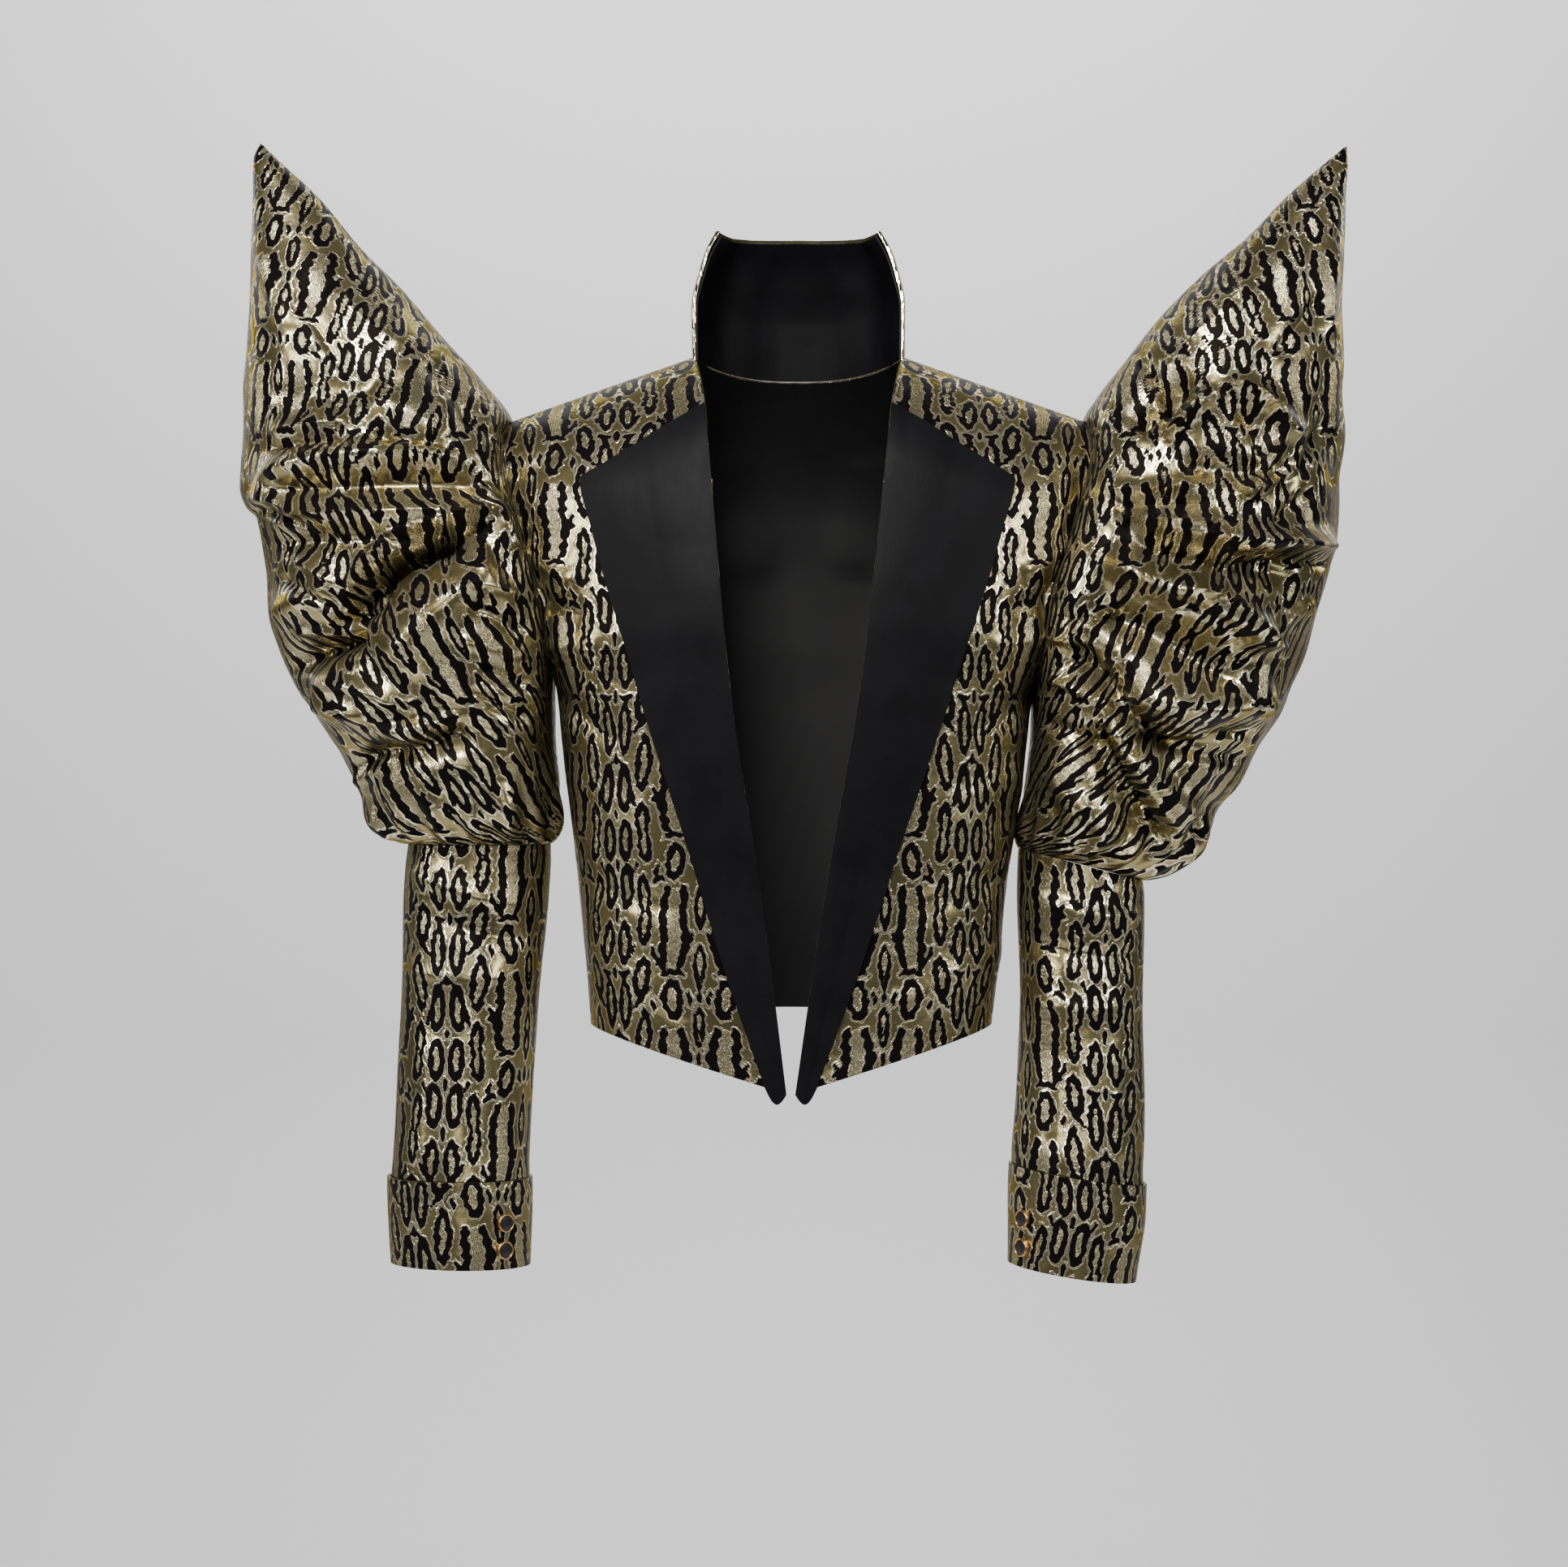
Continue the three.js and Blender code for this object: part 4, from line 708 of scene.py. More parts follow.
def repeat_fields():
    """Signed distances in millimetres over half a repeat, every half millimetre: to the black of the spots, and to
    the pale middles. A spot is a lens with its line inside its edge, a bar a wavy band, a hook a curved stroke."""
    step = 0.5
    x, y = np.meshgrid(np.arange(0, REPEAT_HALF + step, step), np.arange(0, REPEAT_HIGH, step))
    bend, turn = np.sin(math.pi * x / REPEAT_HALF), 2 * math.pi * y / REPEAT_HIGH
    x = x + bend * (0.7 * np.sin(5 * turn + 0.6) + 0.4 * np.sin(11 * turn + x / 9))
    y = y + 0.9 * np.cos(math.pi * x / 31) * np.sin(4 * turn) + 0.5 * bend * np.sin(7 * turn + 2)
    x = x + np.minimum(1, 1.6 * bend) * (0.55 * np.sin(23 * turn + 0.45 * x) + 0.35 * np.sin(37 * turn - 0.8 * x))
    y = y + 0.6 * np.sin(0.95 * x + 3 * turn) * np.minimum(1, 1.6 * bend)
    spot = np.full(x.shape, 30.0)
    core = np.full(x.shape, 30.0)

    repeats = (-REPEAT_HIGH, 0, REPEAT_HIGH)

    def copies(cx):
        mirrors = {cx, -cx, 2 * REPEAT_HALF - cx}
        return [(mx, dy, -1 if mx != cx else 1) for mx in mirrors for dy in repeats]

    for i, s in enumerate(each_row(SPOTS)):
        for mx, dy, hand in copies(s["x"]):
            tilt = math.radians(s["tilt"]) * hand
            dx, dz = x - mx, y - s["y"] - dy
            if np.abs(mx - np.clip(mx, 0, REPEAT_HALF)) > 14:
                continue
            across = dx * math.cos(tilt) + dz * math.sin(tilt)
            down = dz * math.cos(tilt) - dx * math.sin(tilt)
            height = np.abs(down) / s["b"]
            half = s["a"] * (1 - s["neck"] * np.exp(-((height / 0.3) ** 2)))
            power, rise = 2 - 0.8 * s["point"], 2.4 - 0.6 * s["point"]
            edge = lens(np.abs(across) / half, height, power, rise, half, s["b"])
            edge = edge + 0.35 * np.sin(down * 0.9 + 1.7 * i) * np.sign(across)
            if s["line"] >= s["a"]:
                spot = np.minimum(spot, edge)
                continue
            a_in, b_in = s["a"] - s["line"] * LINE_GAIN, s["b"] - s["ends"]
            off = across - 0.5 * np.sin(down * 0.35 + i)
            half = a_in * np.maximum(1 - 1.9 * s["neck"] * np.exp(-((height / 0.24) ** 2)), 0.12)
            inside = lens(np.abs(off) / half, np.abs(down) / b_in, 1.7, 2, half, b_in)
            inside = inside + 0.3 * np.sin(down * 1.3 + 2.3 * i)
            spot = np.minimum(spot, np.maximum(edge, -inside))
            core = np.minimum(core, inside)
    for i, b in enumerate(each_row(BARS)):
        for mx, dy, hand in copies(b["x"]):
            down = (y - b["y"] - dy) / b["b"]
            sway = b["sway"] * np.sin(math.pi * b["waves"] * down) * hand
            spread = b["spread"] * (1 - 0.28 * down**4) + 0.5 * np.sin((y - dy) * 0.6)
            across = x - mx - sway
            beyond = np.maximum(np.abs(down) - 1, 0) * b["b"]
            thick = b["line"] * 1.25 * (1 + 0.14 * np.sin((y - dy) * 0.75 + i)) * np.clip(1.25 - 0.5 * down**4, 0.4, 1)
            stroke = np.abs(np.abs(across) - spread) - thick / 2
            black = np.hypot(np.maximum(stroke, 0), beyond)
            spot = np.minimum(spot, np.where(black > 0, black, stroke))
            scallop = 1.2 * np.abs(np.sin(math.pi * (y - dy) / SCALLOP))
            middle = np.abs(across) - (spread - thick / 2) + scallop - 0.4
            core = np.minimum(core, np.maximum(middle, (np.abs(down) - 0.96) * b["b"]))
    for k in each_row(HOOKS):
        for t in np.linspace(0, 1, 9):
            hx, hy = arc(k["x0"], k["xm"], k["x1"], t), arc(k["y0"], k["ym"], k["y1"], t)
            thick = k["thick"] * (0.55 + 0.45 * math.sin(math.pi * t))
            for mx, dy, _ in copies(hx):
                spot = np.minimum(spot, np.hypot(x - mx, y - hy - dy) - thick)
    return step, spot, core


REPEAT = repeat_fields()


def jacquard(u, v):
    """The two distances at places on the cloth, in millimetres, read between the repeat's samples in a line."""
    step, spot, core = REPEAT
    u, v = u / REPEAT_SCALE, v / REPEAT_SCALE
    half = np.abs((u + REPEAT_HALF) % (2 * REPEAT_HALF) - REPEAT_HALF) / step
    down = (v % REPEAT_HIGH) / step
    c = np.clip(half.astype(int), 0, spot.shape[1] - 2)
    r = down.astype(int) % spot.shape[0]
    after = (r + 1) % spot.shape[0]
    fc, fr = half - c, down - down.astype(int)
    return [lerp(lerp(f[r, c], f[r, c + 1], fc), lerp(f[after, c], f[after, c + 1], fc), fr) for f in (spot, core)]


# ------------------------------------------------------------------------------------------------ meshes


def rim(outer, inner, step, flip):
    """Triangles between a fine edge and a coarse one that has every step-th point."""
    spans = len(inner) - 1
    fine = np.arange(spans * step)
    fan = np.stack([outer[fine], outer[fine + 1], inner[fine // step]], 1)
    coarse = np.arange(spans)
    close = np.stack([outer[(coarse + 1) * step], inner[coarse + 1], inner[coarse]], 1)
    faces = np.concatenate([fan, close])
    return faces[:, ::-1] if flip else faces


def quads(ids):
    """Four-cornered faces between the rows and columns of a grid of point numbers."""
    return np.stack([ids[:-1, :-1], ids[:-1, 1:], ids[1:, 1:], ids[1:, :-1]], -1).reshape(-1, 4)


def point_ids(grid, start, around, pole):
    """Numbers of a grid's points from a start. Round a ring the first column comes again at the end, and at a pole the
    first row is one point."""
    rows, columns = grid.shape[:2]
    dropped = columns - 1 if pole else 0
    ids = start + np.maximum(np.arange(rows * columns) - dropped, 0).reshape(rows, columns)
    return np.concatenate([ids, ids[:, :1]], 1) if around else ids


def in_order(grid, pole):
    """A grid's points or values in the order of their numbers."""
    flat = grid.reshape(-1, *grid.shape[2:])
    return np.concatenate([flat[:1], flat[grid.shape[1] :]]) if pole else flat


def wall_mesh(name, outer, inner, step, u, v, side_slots=(0, 0, 0), around=False, pole=False):
    """Closed wall of a fine outer grid and a coarse inner grid, joined round their edges. side_slots are the material
    numbers of the outer face, the inner face and the edges. u and v are the cloth's own millimetres."""
    outer_points, inner_points = in_order(outer, pole), in_order(inner, pole)
    outer_ids = point_ids(outer, 0, around, pole)
    inner_ids = point_ids(inner, len(outer_points), around, pole)
    faces = [quads(outer_ids), quads(inner_ids)[:, ::-1]]
    edges = [rim(outer_ids[-1], inner_ids[-1], step, False)]
    if not pole:
        edges.append(rim(outer_ids[0], inner_ids[0], step, True))
    if not around:
        edges.append(rim(outer_ids[:, 0], inner_ids[:, 0], step, False))
        edges.append(rim(outer_ids[:, -1], inner_ids[:, -1], step, True))
    parts = [(part[:, cut], slot) for part, slot in zip(faces, side_slots) for cut in ([0, 1, 2], [0, 2, 3])]
    parts += [(part, side_slots[2]) for part in edges]
    triangles = np.concatenate([part for part, _ in parts])
    slots = np.concatenate([np.full(len(part), slot) for part, slot in parts])
    # At a pole some triangles have lost a corner, and are left out.
    a, b, c = triangles.T
    sound = (a != b) & (b != c) & (c != a)
    points = np.concatenate([outer_points, inner_points])
    cloth = [np.concatenate([in_order(places, pole), np.zeros(len(inner_points))]) for places in (u, v)]
    return mesh_object(name, points, triangles[sound], slots[sound], cloth)


def mesh_object(name, points, faces, slots=None, cloth=None, sharp=55):
    """Mesh from points in millimetres and faces, turned outwards by the sign of its volume."""
    faces = np.asarray(faces)
    corner = points[faces[:, :3]]
    if np.sum(corner[:, 0] * np.cross(corner[:, 1], corner[:, 2])) < 0:
        faces = faces[:, ::-1]
    mesh = bpy.data.meshes.new(name)
    size = faces.shape[1]
    mesh.vertices.add(len(points))
    mesh.vertices.foreach_set("co", (points * MM).astype(np.float32).ravel())
    mesh.loops.add(faces.size)
    mesh.loops.foreach_set("vertex_index", faces.astype(np.int32).ravel())
    mesh.polygons.add(len(faces))
    mesh.polygons.foreach_set("loop_start", np.arange(0, faces.size, size, dtype=np.int32))
    if slots is not None:
        mesh.polygons.foreach_set("material_index", np.asarray(slots, dtype=np.int32))
    if cloth is not None:
        spot, core = jacquard(*cloth)
        for label, values in (("spot", spot), ("core", core)):
            layer = mesh.attributes.new(label, "FLOAT", "POINT")
            layer.data.foreach_set("value", values.astype(np.float32))
        corners = np.stack(cloth, 1)[faces.ravel()] * MM
        mesh.uv_layers.new(name="cloth").data.foreach_set("uv", corners.astype(np.float32).ravel())
    mesh.update(calc_edges=True)
    mesh.validate(clean_customdata=False)
    mesh.shade_smooth()
    mesh.set_sharp_from_angle(angle=math.radians(sharp))
    piece = bpy.data.objects.new(name, mesh)
    bpy.context.collection.objects.link(piece)
    return piece


def place(piece, node, slot, *finishes):
    """Gives a piece its finishes by name, lets it stand for its node and ride on the jacket."""
    for name in finishes:
        piece.data.materials.append(finish(name))
    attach(piece, BODY)
    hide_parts(node)


def soften(piece, width):
    """Rounds a piece's sharp edges."""
    bevel = piece.modifiers.new("soft edge", "BEVEL")
    bevel.width, bevel.segments, bevel.limit_method, bevel.angle_limit = width, 2, "ANGLE", math.radians(50)


def cut_of(grid, around=False):
    """Width, length and area of the cloth in a grid, in metres: its longest row, longest column and its cells."""
    ring = np.concatenate([grid, grid[:, :1]], 1) if around else grid
    across = np.linalg.norm(np.diff(ring, axis=1), axis=2)
    down = np.linalg.norm(np.diff(ring, axis=0), axis=2)
    a, b, c = ring[:-1, :-1], ring[:-1, 1:], ring[1:, :-1]
    area = np.linalg.norm(np.cross(b - a, c - a), axis=2).sum() * 1e-6
    width, length = across.sum(1).max() * MM, down.sum(0).max() * MM
    return width, length, min(max(area, LEAST_SHARE * width * length), width * length)


# ------------------------------------------------------------------------------------------------ surfaces


def torso(name, z):
    """A column of the body's table at a height."""
    return through(TORSO["z"], TORSO[name], z)


def shoulder_height(a):
    """Height of the shoulder seam: a parabola inside the neck, a straight fall outside it."""
    inside = NECK_RISE * (1 - (a / NECK_HALF) ** 2)
    return np.where(a < NECK_HALF, inside, -SHOULDER_DROP * (a - NECK_HALF) / (SHOULDER_HALF - NECK_HALF))


def body_points(x, z, side):
    """The body's outer face: a superellipse section that turns over into the shoulder seam like a quarter circle."""
    a = np.abs(x)
    full = torso("front" if side < 0 else "back", z)
    rounded = (1 - np.minimum(1, a / torso("half", z)) ** CHEST_ROUND) ** (1 / CHEST_ROUND)
    roll = FRONT_ROLL if side < 0 else BACK_ROLL - BACK_ROLL_LOSS * a / SHOULDER_HALF
    turn = np.clip((z - (shoulder_height(a) - roll)) / roll, 0, 1)
    depth = np.maximum(HALF_SEAM, full * rounded * np.sqrt(1 - turn * turn))
    return np.stack([x + SWAY * z, side * depth, z], -1)


def sleeve_wall(hand, z):
    """How far from the middle the upper sleeve's inner wall stands at a height, a little into its cloth."""
    puff = RIGHT_PUFF if hand < 0 else LEFT_PUFF
    return np.interp(-z, -puff["in_z"], np.abs(puff["in_x"])) + 1.0 - hand * SWAY * z


def panel_rows(turning, below, above):
    """Row places: even below the turning row, crowding towards the shoulder seam above it."""
    crowding = quarter(np.linspace(0, 1, above + 1)[1:])
    return np.concatenate([np.linspace(0, turning, below + 1), lerp(turning, SHOULDER_ROW, crowding)])


def side_end(rows, t, hand, from_x, from_z):
    """End of each row: the side seam, or the place where the row's straight line meets the upper sleeve."""
    x, z = columns_at(rows, "side_x side_z", t)
    share = np.ones_like(x)
    for _ in range(6):
        height = lerp(from_z, z, share)
        edge = np.minimum(sleeve_wall(hand, height), torso("half", height))
        share = np.clip((edge - from_x) / (x - from_x), 0, 1)
    return lerp(from_x, x, share), lerp(from_z, z, share)


def panel_face(hand, side, t, x, z):
    """Outer face over a panel's places. The shoulder's row, outside the neck, is put exactly on the seam."""
    if t[-1] == SHOULDER_ROW:
        z[-1] = np.where(x[-1] >= NECK_HALF - 0.1, shoulder_height(x[-1]), z[-1])
    points = body_points(x, z, side)
    points[..., 0] = hand * x + SWAY * z
    return points


def cloth_places(grid, middle):
    """Millimetres across the cloth from a column, and down it, along the grid's own rows and columns."""
    u = running(np.hypot(np.diff(grid[..., 0], axis=1), np.diff(grid[..., 1], axis=1)), 1)
    rise = running(np.hypot(np.diff(grid[..., 1], axis=0), np.diff(grid[..., 2], axis=0)))
    start = np.abs(grid[:, middle, 0] - SWAY * grid[:, middle, 2])[:, None]
    return np.abs(u - u[:, middle, None]) + start, -grid[:1, :, 2] - rise


def front_grid(hand, t, lapel_share, side_share):
    """A front's outer face: straight from its free edge to the lapel's outer edge and on to the side."""
    edge_x, edge_z, lapel_x, lapel_z = columns_at(FRONT_ROWS, "edge_x edge_z lapel_x lapel_z", t)
    sx, sz = side_end(FRONT_ROWS, t, hand, lapel_x, lapel_z)
    x = np.concatenate([lerp(edge_x, lapel_x, lapel_share), lerp(lapel_x, sx, side_share)], 1)
    z = np.concatenate([lerp(edge_z, lapel_z, lapel_share), lerp(lapel_z, sz, side_share)], 1)
    return panel_face(hand, -1, t, x, z)


def back_half(hand, t, neck_share, side_share):
    """Half of the back: from its middle to the line below the neck point and on to the side."""
    mid_z, neck_x, neck_z = columns_at(BACK_ROWS, "mid_z neck_x neck_z", t)
    sx, sz = side_end(BACK_ROWS, t, hand, neck_x, neck_z)
    x = np.concatenate([neck_share * neck_x, lerp(neck_x, sx, side_share)], 1)
    z = np.concatenate([lerp(mid_z, neck_z, neck_share**NECKLINE_POWER), lerp(neck_z, sz, side_share)], 1)
    return panel_face(hand, 1, t, x, z)


def ring_points(rows, t, count):
    """Rings through an outermost and an innermost point, a superellipse on the inner half, their points spread evenly
    by length from the outermost one: front first."""
    turn = np.linspace(0, 2 * math.pi, 361)
    c, s = np.cos(turn), np.sin(turn)
    value = {name: rows_at(rows, name, t)[:, None] for name in rows}
    square = value.get("square", np.full((len(t), 1), 2.0))
    power = np.where(c < 0, 2 / square, 1.0)
    across = np.sign(c) * np.abs(c) ** power
    deep = np.sign(s) * np.abs(s) ** power
    x = lerp(value["in_x"], value["out_x"], (1 + across) / 2)
    z = lerp(value["in_z"], value["out_z"], (1 + across) / 2)
    y = value.get("middle", 0) - deep * np.where(deep > 0, value["front"], value["back"])
    fine = np.stack([x, y, z], -1)
    lengths = running(np.linalg.norm(np.diff(fine, axis=1), axis=2), 1)
    total = lengths[:, -1:]
    # One interpolation for all the rings: each ring's shares of its length start 2 above those of the ring before.
    apart = 2 * np.arange(len(t))[:, None]
    keys = (lengths / np.maximum(total, 1e-9) + apart).ravel()
    ask = (np.arange(count)[None] / count + apart).ravel()
    grid = np.stack([np.interp(ask, keys, fine[..., k].ravel()) for k in range(3)], -1).reshape(len(t), count, 3)
    return grid, total[:, 0]


def ring_rows(rows, count):
    """Fractional rows spaced evenly by length down the outer and inner edges together."""
    t = np.linspace(0, len(rows["out_x"]) - 1, 600)
    path = np.stack([rows_at(rows, n, t) for n in ("out_x", "out_z", "in_x", "in_z")], 1)
    return even_places(path, count) * (len(rows["out_x"]) - 1)


def folded_distance(totals, count):
    """Millimetres round a ring from its outermost point, the same in front and behind, so the cloth has no break."""
    c = np.arange(count)
    return np.minimum(c, count - c)[None] * totals[:, None] / count


def down_distance(grid):
    """Millimetres down the cloth along the mean of a grid's columns."""
    return running(np.linalg.norm(np.diff(grid, axis=0), axis=2).mean(1))


# ------------------------------------------------------------------------------------------------ materials


class Socket:
    """A shader socket that takes part in sums: each sign adds a Math node."""

    def __init__(self, tree, socket):
        self.tree, self.socket = tree, socket

    def _math(self, operation, *values):
        return self.tree.node("ShaderNodeMath", {"operation": operation}, *values)

    def __add__(self, other):
        return self._math("ADD", self, other)

    def __sub__(self, other):
        return self._math("SUBTRACT", self, other)

    def __rsub__(self, other):
        return self._math("SUBTRACT", other, self)

    def __mul__(self, other):
        return self._math("MULTIPLY", self, other)

    __radd__, __rmul__ = __add__, __mul__

    def ramp(self, low, high):
        """0 below low, 1 above high, smooth between."""
        settings = {"interpolation_type": "SMOOTHSTEP"}
        return self.tree.node("ShaderNodeMapRange", settings, self, low, high, 0.0, 1.0)


class Finish:
    """A material with one Principled BSDF. node() adds any other node."""

    def __init__(self, name):
        self.material = bpy.data.materials.new(name)
        self.material.use_nodes = True
        self.nodes, self.links = self.material.node_tree.nodes, self.material.node_tree.links
        self.shader = self.nodes["Principled BSDF"]

    def node(self, kind, settings, *values, output=0, **named):
        made = self.nodes.new(kind)
        for key, value in settings.items():
            setattr(made, key, value)
        enabled = [s for s in made.inputs if s.enabled]
        pairs = list(zip(enabled, values)) + [
            (next(s for s in enabled if s.name == key.replace("_", " ")), value) for key, value in named.items()
        ]
        for socket, value in pairs:
            self.feed(socket, value)
        outputs = [s for s in made.outputs if s.enabled]
        chosen = outputs[output] if isinstance(output, int) else next(s for s in outputs if s.name == output)
        return Socket(self, chosen)

    def feed(self, socket, value):
        if isinstance(value, Socket):
            self.links.new(value.socket, socket)
        elif value is not None:
            socket.default_value = value

    def here(self):
        """Places on the object, which stay with the cloth."""
        return self.node("ShaderNodeTexCoord", {}, output="Object")

    def attribute(self, name):
        return self.node("ShaderNodeAttribute", {"attribute_name": name}, output="Fac")

    def noise(self, where, scale, detail=2.0, roughness=0.5):
        return self.node("ShaderNodeTexNoise", {}, Vector=where, Scale=scale, Detail=detail, Roughness=roughness)

    def mix(self, share, low, high):
        return self.node("ShaderNodeMix", {"data_type": "RGBA"}, share, low, high)

    def bump(self, height, strength, distance, normal=None):
        return self.node("ShaderNodeBump", {}, Strength=strength, Distance=distance, Height=height, Normal=normal)

    def set(self, **values):
        for key, value in values.items():
            self.feed(self.shader.inputs[key.replace("_", " ")], value)
        return self


def rgba(r, g, b, share=1.0):
    """An opaque colour, darker or lighter by a share."""
    return (r * share, g * share, b * share, 1.0)


def jacquard_finish(sizes):
    """Metallic gold ground with black spots, pale piping round each and a sparkling ribbed middle."""
    f = Finish("ocelot_jacquard")
    here = f.here()
    cloth = f.node("ShaderNodeUVMap", {"uv_map": "cloth"})
    ragged = f.noise(here, 420.0, 2.0, 0.6) - 0.5
    wander = f.noise(here, 95.0, 1.0, 0.5) - 0.5
    spot = f.attribute("spot") + ragged * 0.9 + wander * 0.7
    core = f.attribute("core") + ragged * 0.8
    black = 1 - spot.ramp(-0.2, 0.2)
    piping = (1 - spot.ramp(sizes.piping - 0.25, sizes.piping + 0.3)) * (1 - black)
    middle = (1 - core.ramp(-0.6, 0.0)) * (1 - black)
    ribs = f.node(
        "ShaderNodeTexWave",
        {"wave_type": "BANDS", "bands_direction": "X", "wave_profile": "SIN"},
        Vector=cloth,
        Scale=250.0,
        Distortion=4.0,
        Detail=2.0,
        Detail_Scale=1.6,
    )
    sparkle = f.noise(here, 900.0, 3.0, 0.7)
    cloud = f.noise(here, 16.0, 3.0, 0.55)
    ground = f.mix(cloud.ramp(0.3, 0.72), rgba(*sizes.ground), rgba(*sizes.ground, 1.35))
    pale = f.mix(ribs, rgba(*sizes.core, 0.55), rgba(*sizes.core))
    colour = f.mix(piping, ground, rgba(*sizes.piping_colour))
    colour = f.mix(middle, colour, pale)
    colour = f.mix(black, colour, rgba(*sizes.black))
    weave = f.noise(here, 1500.0, 2.0, 0.6)
    crinkle = f.bump(f.noise(here, 48.0, 2.5, 0.55), 0.55, 0.0022)
    raised = (1 - spot.ramp(-0.6, 1.6)) * 0.35 + piping * 0.3
    relief = raised + middle * ribs * 0.5 + weave * 0.16 + middle * sparkle * 0.35
    normal = f.bump(relief, 0.6, 0.0007, crinkle)
    rough = 0.25 + black * 0.2 + (sparkle - 0.5) * middle * 0.35 + (cloud - 0.5) * 0.12 - piping * 0.06
    metal = (1 - black) * 0.9
    f.set(Specular_Tint=rgba(0.3, 0.24, 0.15), Specular_IOR_Level=0.12)
    return f.set(Base_Color=colour, Roughness=rough, Metallic=metal, Normal=normal).material


def lining_finish():
    """Black lining with a faint twill."""
    f = Finish("black_lining")
    here = f.here()
    turned = f.node("ShaderNodeMapping", {}, Vector=here, Rotation=(0.6, 0.4, 0.8))
    twill = f.node("ShaderNodeTexWave", {"bands_direction": "X"}, Vector=turned, Scale=420.0, Distortion=0.8)
    cloud = f.noise(here, 22.0, 3.0, 0.5)
    colour = f.mix(cloud, rgba(0.003, 0.003, 0.0036), rgba(0.006, 0.006, 0.007))
    normal = f.bump(twill * 0.4 + cloud * 0.6, 0.3, 0.0008)
    return f.set(Base_Color=colour, Roughness=0.5 + cloud * 0.16, Normal=normal, Specular_IOR_Level=0.2).material


def satin_finish(sizes):
    """Black satin: fine lengthwise threads and soft cloudy gloss."""
    f = Finish("black_satin")
    here = f.here()
    long_ = f.node("ShaderNodeMapping", {}, Vector=here, Scale=(1.0, 1.0, 0.12))
    threads = f.noise(long_, 1400.0, 2.0, 0.6)
    slub = f.noise(long_, 160.0, 3.0, 0.6)
    cloud = f.noise(here, 26.0, 3.0, 0.55)
    colour = f.mix(cloud.ramp(0.3, 0.7), rgba(*sizes.satin), rgba(*sizes.satin, 1.5))
    normal = f.bump(threads * 0.5 + slub * 0.4 + cloud * 0.8, 0.35, 0.0007)
    rough = 0.42 + cloud * 0.16 + slub * 0.08
    return f.set(Base_Color=colour, Roughness=rough, Normal=normal, Specular_IOR_Level=0.09).material


def button_finish(sizes):
    """Black enamelled face inside a warm metal rim, told apart by an attribute."""
    f = Finish("button_metal")
    here = f.here()
    metal = f.attribute("metal").ramp(0.45, 0.55)
    grain = f.noise(here, 700.0, 3.0, 0.6)
    gold = f.mix(grain, rgba(*sizes.button_metal, 0.72), rgba(*sizes.button_metal))
    colour = f.mix(metal, rgba(0.012, 0.011, 0.012), gold)
    normal = f.bump(grain, 0.12, 0.0003)
    return f.set(Base_Color=colour, Metallic=metal * 0.95, Roughness=0.22 + grain * 0.14, Normal=normal).material


def studio_finish(name, colour):
    """Plain painted studio surface with a very faint mottle."""
    f = Finish(name)
    here = f.here()
    cloud = f.noise(here, 1.4, 3.0, 0.5)
    shade = f.mix(cloud, rgba(*colour, 0.985), rgba(*colour))
    return f.set(Base_Color=shade, Roughness=0.9 + cloud * 0.05).material


def finish(name):
    """A finish by name, made when it is first asked for."""
    cloth = bpy.context.scene.jacket_cloth
    makers = {
        "ocelot_jacquard": lambda: jacquard_finish(cloth),
        "black_lining": lining_finish,
        "black_satin": lambda: satin_finish(cloth),
        "button_metal": lambda: button_finish(cloth),
    }
    return bpy.data.materials.get(name) or makers[name]()


# ------------------------------------------------------------------------------------------------ pieces


def make_panel(node, grid, side, flat, u, v):
    """A body panel: its face with creases that fade towards its edges, and the lining inside it."""
    normals = normals_of(grid, np.array([0, float(side), 0]), flat=flat)
    lift = BODY_GAIN * crease_lift(BODY_CREASES, grid, np.full(grid.shape[:2], side), BODY_CREST)
    lift += slow_waves(grid, *BODY_WAVES)
    down, across = (np.minimum(np.arange(n), np.arange(n)[::-1]) for n in grid.shape[:2])
    lift *= ease(np.minimum(down[:, None], across[None]) / EDGE_FADE)
    outer = grid + normals * lift[..., None]
    deep = np.minimum(lowest_near(lift, PANEL_STEP, False), 0)
    inner = (grid - normals * (CLOTH - deep)[..., None])[::PANEL_STEP, ::PANEL_STEP]
    piece = wall_mesh(f"{node}_cloth", outer, inner, PANEL_STEP, u, v, (0, 1, 0))
    place(piece, node, "jacquard", "ocelot_jacquard", "black_lining")
    cut_of(outer)


def even_shares(count, start, deep=0.65):
    """Shares from a place on the body's section to its side, even by length round the superellipse
    y = deep (1 - a^CHEST_ROUND)^(1 / CHEST_ROUND), with a measured in half widths."""
    a = 1 - (1 - start) * np.linspace(1, 0, 3001) ** 4
    y = deep * (1 - a**CHEST_ROUND) ** (1 / CHEST_ROUND)
    length = running(np.hypot(np.diff(a), np.diff(y)))
    return (np.interp(np.linspace(0, length[-1], count + 1)[1:], length, a) - start) / (1 - start)


def make_front(hand):
    """A front. Its wall ends flat against the back along the shoulder and side seams."""
    t = panel_rows(GORGE_ROW, 300, 44)
    grid = front_grid(hand, t, np.linspace(0, 1, LAPEL_COLUMNS), even_shares(100, 0.2))
    flat = np.zeros(grid.shape[:2], bool)
    flat[-1], flat[:, -1] = True, True
    u, v = cloth_places(grid, 0)
    make_panel("right_front" if hand < 0 else "left_front", grid, -1, flat, u, v + FRONT_START)


